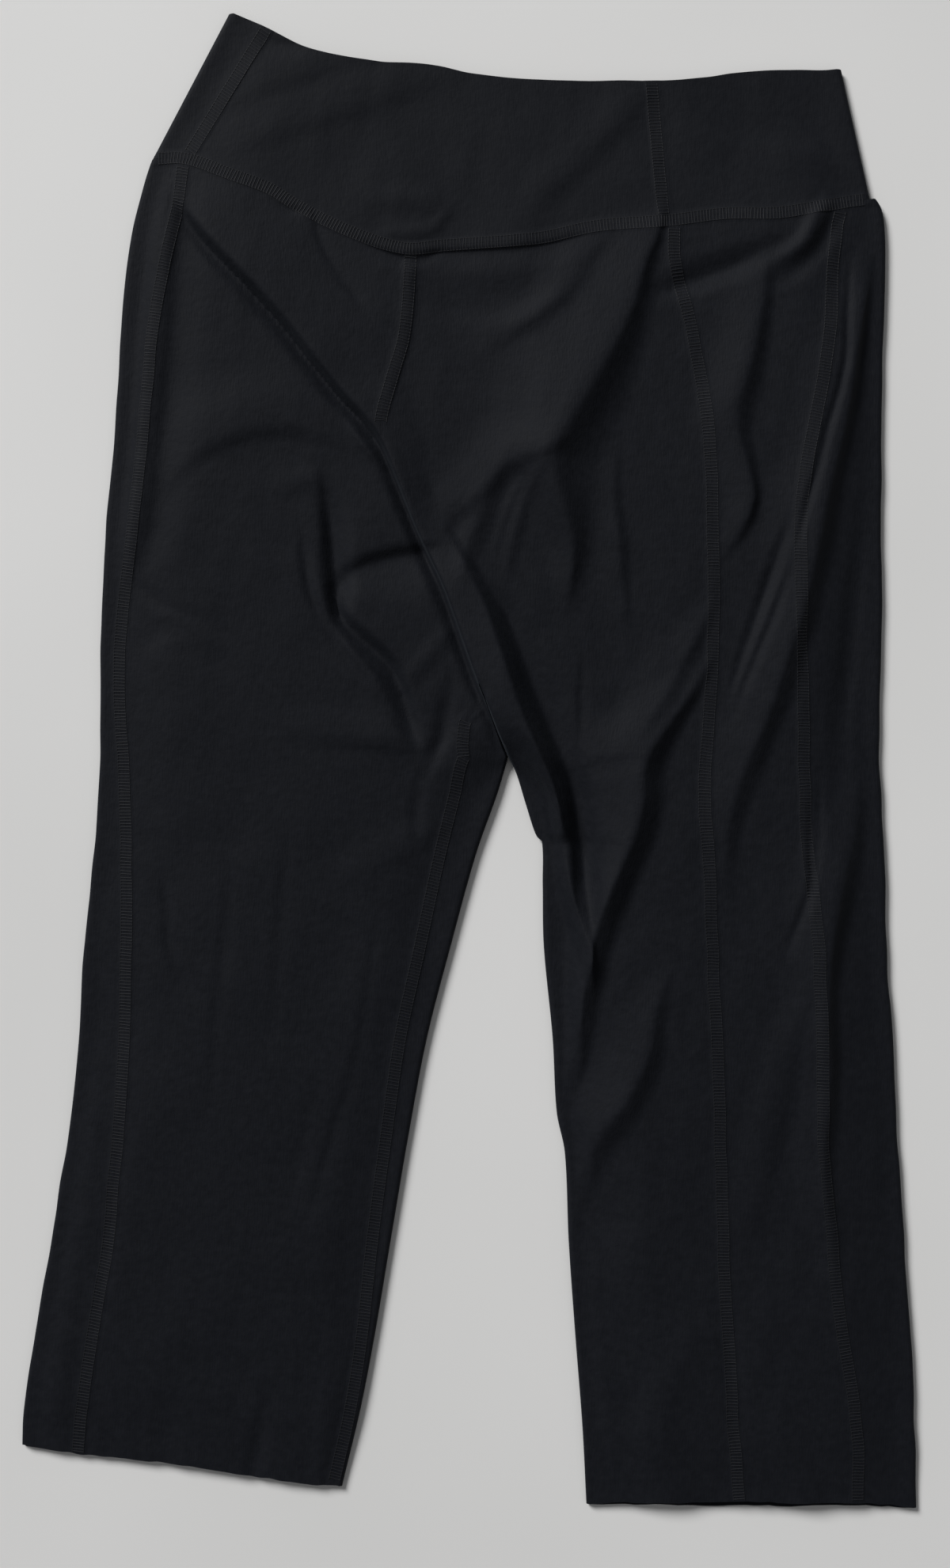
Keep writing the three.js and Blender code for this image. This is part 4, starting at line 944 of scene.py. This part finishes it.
def front_left():
    under = Line(moved(left_hidden, GAP), band_seam_under, left_hem)
    inner = Line(left_under_inner, band_seam_under, left_hem)
    edge = Line(moved(left_inner, -GAP), band_seam, left_hem)
    edge_top = Line(lambda y: left_inner(y) - GAP - inner_roll(y), band_seam, left_hem)
    inseam = Line(moved(left_centre, GAP), band_seam, left_hem)
    rolled = leg_roll(edge, 1, "left", inner_roll, ROLL_ANGLES[::-1])
    top = upper_zone(edge_top, inseam, fine_shares(14, fine_start=False, cell=1.4), "left")
    return [
        under_zone(under, inner, fine_shares(140, cell=4), "left"),
        blank_body(*rolled),
        blank_body(*top),
    ]


def back_right():
    centre = Line(right_upper_inner, band_seam, right_hem)
    side = Line(moved(right_back_line, -GAP), band_seam, right_hem)
    edge = Line(moved(right_inner, GAP), band_seam, right_hem)
    edge_under = Line(lambda y: right_inner(y) + GAP + inner_roll(y), band_seam, right_hem_under)
    inseam = Line(moved(right_hidden, -GAP), band_seam, right_hem_under)
    rolled = leg_roll(edge, -1, "right", inner_roll, ROLL_ANGLES)
    below = under_zone(edge_under, inseam, fine_shares(20, fine_start=False, cell=3), "right")
    return [
        upper_zone(side, centre, fine_shares(160, cell=1.55), "right"),
        blank_body(*rolled),
        blank_body(*below),
    ]


def side_right():
    back = Line(moved(right_back_line, GAP), band_seam, right_hem)
    front = Line(moved(right_front_line, -GAP), band_seam, right_hem)
    return [upper_zone(back, front, fine_shares(66, cell=1.35), "right")]


def front_right():
    top = Line(moved(right_front_line, GAP), band_seam, right_hem)
    edge = Line(right_edge, band_seam, right_hem)
    edge_top = Line(moved(right_edge, -EDGE_ROLL), band_seam, right_hem)
    edge_under = Line(moved(right_edge, -EDGE_ROLL), band_seam_under, right_hem_under)
    inner = Line(moved(right_hidden, GAP), band_seam_under, right_hem_under)
    return [
        upper_zone(top, edge_top, fine_shares(40, fine_end=False, cell=1.4), "right"),
        leg_roll(edge, 1, "right", side_roll, ROLL_ANGLES),
        under_zone(edge_under, inner, fine_shares(150, fine_start=False, cell=4), "right"),
    ]


# The waistband: places at a share across it and a share of the way from its seam to the waist
BAND_ROLL = EDGE_ROLL + BAND_KNIT - KNIT
BAND_UP = fine_shares(BAND_LENGTH)[:, None]
BAND_WIDTH = mix(BAND_LOWER[1] - BAND_LOWER[0], BAND_WAIST[1] - BAND_WAIST[0], BAND_UP)


def band_places(across, seam, waist, margin=BAND_ROLL):
    low, high = band_x(across, 0, margin), band_x(across, 1, margin)
    return mix(low, high, BAND_UP), mix(seam(low) + SEAM_GAP / 2, waist(high), BAND_UP)


def band_share(name, sign):
    return mix(*BAND_SEAMS[name], BAND_UP) + sign * GAP / BAND_WIDTH


def band_upper(start, end, shares):
    across = mix(start, end, np.asarray(shares)[None, :])
    outer = upper(*band_places(across, band_seam, waist_edge), "body", BAND_KNIT)
    return outer, shell(outer, BAND_KNIT)


def band_roll(side, towards, angles):
    x, y = (v[:, 0] for v in band_places(side, band_seam, waist_edge))
    top = upper(x, y, "body", BAND_KNIT)[:, 2]
    roll = np.full(len(x), BAND_ROLL)
    return roll_zone(x + towards * BAND_ROLL, y, towards, roll, top, BAND_KNIT, angles)


def waistband_back():
    return [band_upper(band_share("left", 1), band_share("right", -1), fine_shares(250))]


def waistband_front():
    zero, one = np.zeros_like(BAND_UP), np.ones_like(BAND_UP)
    across = np.linspace(0, 1, BAND_UNDER_COLUMNS)[None, :]
    x, y = band_places(across, band_seam_under, waist_edge_under)
    return [
        band_upper(band_share("left", -1), zero, fine_shares(18, fine_end=False, cell=1.6)),
        band_roll(zero, -1, ROLL_ANGLES),
        under_wall(x, y, "body", BAND_KNIT),
        band_roll(one, 1, ROLL_ANGLES[::-1]),
        band_upper(one, band_share("right", 1), fine_shares(112, fine_start=False)),
    ]


def grid_faces(there):
    """Quads of a closed wall over a grid: number 2k is the outside of grid point k, 2k + 1 its inside."""
    rows, cols = there.shape
    cell = there[:-1, :-1] & there[1:, :-1] & there[:-1, 1:] & there[1:, 1:]
    number = 2 * np.arange(rows * cols).reshape(rows, cols)
    a, b = number[:-1, :-1][cell], number[:-1, 1:][cell]
    c, d = number[1:, 1:][cell], number[1:, :-1][cell]
    faces = [np.stack([a, b, c, d], 1), np.stack([a, d, c, b], 1) + 1]
    padded = np.pad(cell, 1)
    for start, end, neighbour in (
        ((0, 0), (0, 1), padded[:-2, 1:-1]),
        ((0, 1), (1, 1), padded[1:-1, 2:]),
        ((1, 1), (1, 0), padded[2:, 1:-1]),
        ((1, 0), (0, 0), padded[1:-1, :-2]),
    ):
        rim = cell & ~neighbour
        p = number[start[0]:rows - 1 + start[0], start[1]:cols - 1 + start[1]][rim]
        q = number[end[0]:rows - 1 + end[0], end[1]:cols - 1 + end[1]][rim]
        faces.append(np.stack([q, p, p + 1, q + 1], 1))
    return np.vstack(faces)


def mesh_object(name, points, faces, material, sharp_degrees=50):
    """A smooth mesh from points in millimetres, facing out, without the points that no face uses."""
    used, faces = np.unique(faces, return_inverse=True)
    faces = faces.reshape(-1, 4)
    points = points[used] * MM
    a, b, c, d = (points[faces[:, i]] for i in range(4))
    if (np.cross(b - a, c - a) * a).sum() + (np.cross(c - a, d - a) * a).sum() < 0:
        faces = faces[:, ::-1]
    mesh = bpy.data.meshes.new(name)
    mesh.from_pydata(points.tolist(), [], faces.tolist())
    mesh.validate()
    mesh.shade_smooth()
    mesh.set_sharp_from_angle(angle=math.radians(sharp_degrees))
    mesh.materials.append(material)
    made = bpy.data.objects.new(name, mesh)
    bpy.context.scene.collection.objects.link(made)
    return made


def panel_object(name, zones, material):
    outer = np.concatenate([zone[0] for zone in zones], 1)
    inner = np.concatenate([zone[1] for zone in zones], 1)
    points = np.stack([outer, inner], 2).reshape(-1, 3)
    return mesh_object(name, points, grid_faces(outer[..., 2] > EMPTY / 2), material)


# Flatlock stitching: at each pitch a rung of thread across the seam, and a stitch in each needle row
ROW_OFFSET = 3.0
RUNG = (-3.1, -1.1, 1.1, 3.1)
STITCH = (-0.62, 0.62)
THREAD_HALF = 0.27
THREAD_RISE = 0.22
BESIDE = 0.3

# Spread of each rung along the seam, its mean slant and that slant's spread, and each stitch's spread
RUNG_SPREAD = 0.1
RUNG_SLANT = 0.05
SLANT_SPREAD = 0.03
STITCH_SPREAD = 0.08


def evenly(x, y, pitch):
    """Places a pitch apart along a line, with the line's direction at each."""
    run = np.r_[0, np.cumsum(np.hypot(np.diff(x), np.diff(y)))]
    at = np.arange(pitch / 2, run[-1], pitch)
    ends = [np.stack([np.interp(at + by, run, x), np.interp(at + by, run, y)], -1) for by in (-1, 1)]
    along = ends[1] - ends[0]
    return (ends[0] + ends[1]) / 2, along / np.linalg.norm(along, axis=-1, keepdims=True)


def threads(places, axis, side, surface, up):
    """Short prisms of thread on a surface, each through its own row of places in the pattern."""
    rows, stations = places.shape[:2]
    middle = surface(places[..., 0], places[..., 1])
    beside = places + BESIDE * side[:, None]
    across = surface(beside[..., 0], beside[..., 1]) - middle
    across /= np.linalg.norm(across, axis=-1, keepdims=True)
    lift = np.array([0, 0, up]) - up * across[..., 2:3] * across
    ring = ((-1, -0.05), (-0.55, 1), (0.55, 1), (1, -0.05))
    points = [middle + THREAD_HALF * wide * across + THREAD_RISE * tall * lift for wide, tall in ring]
    points = np.stack(points, 2).reshape(-1, 3)
    k = np.arange(stations - 1)[:, None] * 4
    j = np.arange(4)[None, :]
    walls = np.stack([k + j, k + (j + 1) % 4, k + 4 + (j + 1) % 4, k + 4 + j], -1).reshape(-1, 4)
    last = 4 * (stations - 1)
    one = np.vstack([walls, [[3, 2, 1, 0], [last, last + 1, last + 2, last + 3]]])
    return points, (np.arange(rows)[:, None, None] * 4 * stations + one).reshape(-1, 4)


def turned(vectors):
    return np.stack([vectors[:, 1], -vectors[:, 0]], -1)


def stitch_object(name, x, y, surface, seed, up=1):
    centre, along = evenly(np.asarray(x, float), np.asarray(y, float), STITCH_PITCH)
    across = -turned(along)
    random = np.random.RandomState(seed)
    shift = random.normal(0, RUNG_SPREAD, (len(centre), 1))
    slant = random.normal(RUNG_SLANT, SLANT_SPREAD, (len(centre), 1))
    parts = []
    offsets = np.array(RUNG)
    rung = (centre + along * shift)[:, None] + across[:, None] * offsets[None, :, None]
    rung = rung + along[:, None] * (slant * offsets)[..., None]
    parts.append(threads(rung, across, turned(across), surface, up))
    for row in (-ROW_OFFSET, ROW_OFFSET):
        start = centre + across * row + along * random.normal(0, STITCH_SPREAD, (len(centre), 1))
        stitch = start[:, None] + along[:, None] * np.array(STITCH)[None, :, None]
        parts.append(threads(stitch, along, turned(along), surface, up))
    points = np.vstack([part[0] for part in parts])
    starts = np.cumsum([0] + [len(part[0]) for part in parts[:-1]])
    faces = np.vstack([part[1] + start for part, start in zip(parts, starts)])
    return mesh_object(name, points, faces, THREAD, sharp_degrees=70)


# Materials: near-black stretch knit, its colour a little uneven, with fine vertical ribs
def node_tree(name):
    material = bpy.data.materials.new(name)
    material.use_nodes = True
    tree = material.node_tree
    return material, tree, tree.nodes["Principled BSDF"]


def noise(tree, scale, detail, vector):
    node = tree.nodes.new("ShaderNodeTexNoise")
    node.inputs["Scale"].default_value = scale
    node.inputs["Detail"].default_value = detail
    tree.links.new(vector, node.inputs["Vector"])
    return node.outputs["Fac"]


def stretched(tree, scale):
    place = tree.nodes.new("ShaderNodeTexCoord")
    mapping = tree.nodes.new("ShaderNodeMapping")
    mapping.inputs["Scale"].default_value = scale
    tree.links.new(place.outputs["Object"], mapping.inputs["Vector"])
    return mapping.outputs["Vector"]


def two_tone(tree, factor, dark, light, low, high):
    ramp = tree.nodes.new("ShaderNodeValToRGB")
    ramp.color_ramp.elements[0].position, ramp.color_ramp.elements[1].position = low, high
    ramp.color_ramp.elements[0].color = (*dark, 1)
    ramp.color_ramp.elements[1].color = (*light, 1)
    tree.links.new(factor, ramp.inputs["Fac"])
    return ramp.outputs["Color"]


def knit_material(name, dark, light, rib):
    material, tree, shader = node_tree(name)
    cloth = stretched(tree, (1, 1, 1))
    ribs = stretched(tree, (1, 0.16, 1))
    patches = noise(tree, 230, 4, cloth)
    tree.links.new(two_tone(tree, patches, dark, light, 0.35, 0.7), shader.inputs["Base Color"])
    fibres = noise(tree, 1150, 2, ribs)
    bump = tree.nodes.new("ShaderNodeBump")
    bump.inputs["Strength"].default_value = rib
    bump.inputs["Distance"].default_value = 0.0003
    tree.links.new(fibres, bump.inputs["Height"])
    pebble = tree.nodes.new("ShaderNodeBump")
    pebble.inputs["Strength"].default_value = 0.4
    pebble.inputs["Distance"].default_value = 0.0006
    tree.links.new(noise(tree, 260, 3, cloth), pebble.inputs["Height"])
    tree.links.new(bump.outputs["Normal"], pebble.inputs["Normal"])
    tree.links.new(pebble.outputs["Normal"], shader.inputs["Normal"])
    rough = tree.nodes.new("ShaderNodeMapRange")
    rough.inputs["To Min"].default_value = 0.62
    rough.inputs["To Max"].default_value = 0.78
    tree.links.new(patches, rough.inputs["Value"])
    tree.links.new(rough.outputs["Result"], shader.inputs["Roughness"])
    shader.inputs["Specular IOR Level"].default_value = 0.1
    shader.inputs["Sheen Weight"].default_value = 0.02
    shader.inputs["Sheen Roughness"].default_value = 0.5
    shader.inputs["Sheen Tint"].default_value = (0.75, 0.86, 1, 1)
    return material


def thread_material():
    material, tree, shader = node_tree("black_thread")
    twist = noise(tree, 900, 1, stretched(tree, (1, 1, 1)))
    colour = two_tone(tree, twist, (0.0042, 0.0048, 0.0067), (0.0072, 0.0079, 0.0103), 0.35, 0.7)
    tree.links.new(colour, shader.inputs["Base Color"])
    shader.inputs["Roughness"].default_value = 0.6
    shader.inputs["Specular IOR Level"].default_value = 0.2
    shader.inputs["Sheen Weight"].default_value = 0.04
    return material


def floor_material():
    material, tree, shader = node_tree("pale_floor")
    tone = noise(tree, 3, 2, stretched(tree, (1, 1, 1)))
    colour = two_tone(tree, tone, (0.60, 0.597, 0.588), (0.64, 0.636, 0.628), 0.3, 0.7)
    tree.links.new(colour, shader.inputs["Base Color"])
    shader.inputs["Roughness"].default_value = 0.6
    return material


KNIT_MATERIAL = knit_material("black_knit", (0.0038, 0.0044, 0.0064), (0.0056, 0.0063, 0.0087), 0.6)
BAND_MATERIAL = knit_material("black_band_knit", (0.004, 0.0046, 0.0066), (0.0056, 0.0063, 0.0085), 0.45)
THREAD = thread_material()

PANELS = {
    "back_left": back_left,
    "back_right": back_right,
    "side_left": side_left,
    "side_right": side_right,
    "front_left": front_left,
    "front_right": front_right,
    "waistband_back": waistband_back,
    "waistband_front": waistband_front,
}
for node, zones in PANELS.items():
    on_band = node.startswith("waistband")
    piece = panel_object("cloth_" + node, zones(), BAND_MATERIAL if on_band else KNIT_MATERIAL)
    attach(piece, "root")
    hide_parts(node)


# Stitching along each seam: the line, from its top to its foot, and the layer that it lies on
def on_upper(leg, knit=KNIT):
    return lambda x, y: upper(x, y, leg, knit)


def on_under(leg, knit=KNIT):
    return lambda x, y: under_wall(x, y, leg, knit)[0]


def seam_line(x_at, top, foot):
    y = np.linspace(top, foot, 900)
    return x_at(y), y


def to_hem(x_at, cross, hem):
    line = Line(x_at, cross, hem)
    return seam_line(x_at, line.top[1] - SEAM_HALF - 1, line.foot[1] + 1)


def band_side(name):
    up = np.linspace(0.045, 0.985, 60)
    low, high = band_x(BAND_SEAMS[name][0], 0), band_x(BAND_SEAMS[name][1], 1)
    return mix(low, high, up), mix(band_seam(low), waist_edge(high), up)


def across_band(seam, margin):
    x = np.linspace(BAND_LOWER[0] + margin, BAND_LOWER[1] - margin, 700)
    return x, seam(x)


STITCHES = {
    "centre_back": (seam_line(centre_seam, 272.5, 183), on_upper("body"), 1),
    "left_side": (to_hem(left_side, band_seam, left_hem), on_upper("left"), 1),
    "left_inseam": (seam_line(left_inseam, 22, -389), on_upper("left"), 1),
    "right_back": (to_hem(right_back_line, band_seam, right_hem), on_upper("right"), 1),
    "right_front": (to_hem(right_front_line, band_seam, right_hem), on_upper("right"), 1),
    "band": (across_band(band_seam, 3), on_upper("body"), 1),
    "band_left": (band_side("left"), on_upper("body", BAND_KNIT), 1),
    "band_right": (band_side("right"), on_upper("body", BAND_KNIT), 1),
    "under_left": (to_hem(left_hidden, band_seam_under, left_hem), on_under("left"), -1),
    "under_front": (seam_line(front_seam, 310, 44), on_under("body"), -1),
    "under_right": (seam_line(right_hidden, 34, -398), on_under("right"), -1),
    "under_band": (across_band(band_seam_under, 4), on_under("body", BAND_KNIT), -1),
}
for number, (name, (line, surface, up)) in enumerate(STITCHES.items()):
    piece = stitch_object("stitches_" + name, *line, surface, 40 + number, up)
    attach(piece, "root")

# Floor, lights and a camera straight above
floor_mesh = bpy.data.meshes.new("floor")
FLOOR = 3.0
floor_mesh.from_pydata(
    [(-FLOOR, -FLOOR, 0), (FLOOR, -FLOOR, 0), (FLOOR, FLOOR, 0), (-FLOOR, FLOOR, 0)], [], [(0, 1, 2, 3)])
floor_mesh.materials.append(floor_material())
floor = bpy.data.objects.new("floor", floor_mesh)
bpy.context.scene.collection.objects.link(floor)


def area_light(name, place, aim, size, power):
    data = bpy.data.lights.new(name, "AREA")
    data.shape, data.size, data.energy = "DISK", size, power
    light = bpy.data.objects.new(name, data)
    light.location = place
    direction = np.array(aim) - np.array(place)
    light.rotation_mode = "QUATERNION"
    light.rotation_quaternion = Vector(direction).to_track_quat("-Z", "Y")
    bpy.context.scene.collection.objects.link(light)


area_light("window", place=(-9.3, 10.8, 9.8), aim=(0, 0, 0), size=7.2, power=4100)
area_light("fill", place=(1.6, -1.6, 2.6), aim=(0, 0, 0), size=2.4, power=5)

world = bpy.data.worlds.new("soft_room")
world.use_nodes = True
world.node_tree.nodes["Background"].inputs["Color"].default_value = (0.97, 0.98, 1, 1)
world.node_tree.nodes["Background"].inputs["Strength"].default_value = 0.17
bpy.context.scene.world = world
bpy.context.scene.view_settings.view_transform = "Standard"

camera_data = bpy.data.cameras.new("camera")
camera_data.lens = 46.5
camera_data.sensor_width = 36
camera = bpy.data.objects.new("camera", camera_data)
camera.location = (0.0032, -0.0123, 1.1)
bpy.context.scene.collection.objects.link(camera)
bpy.context.scene.camera = camera
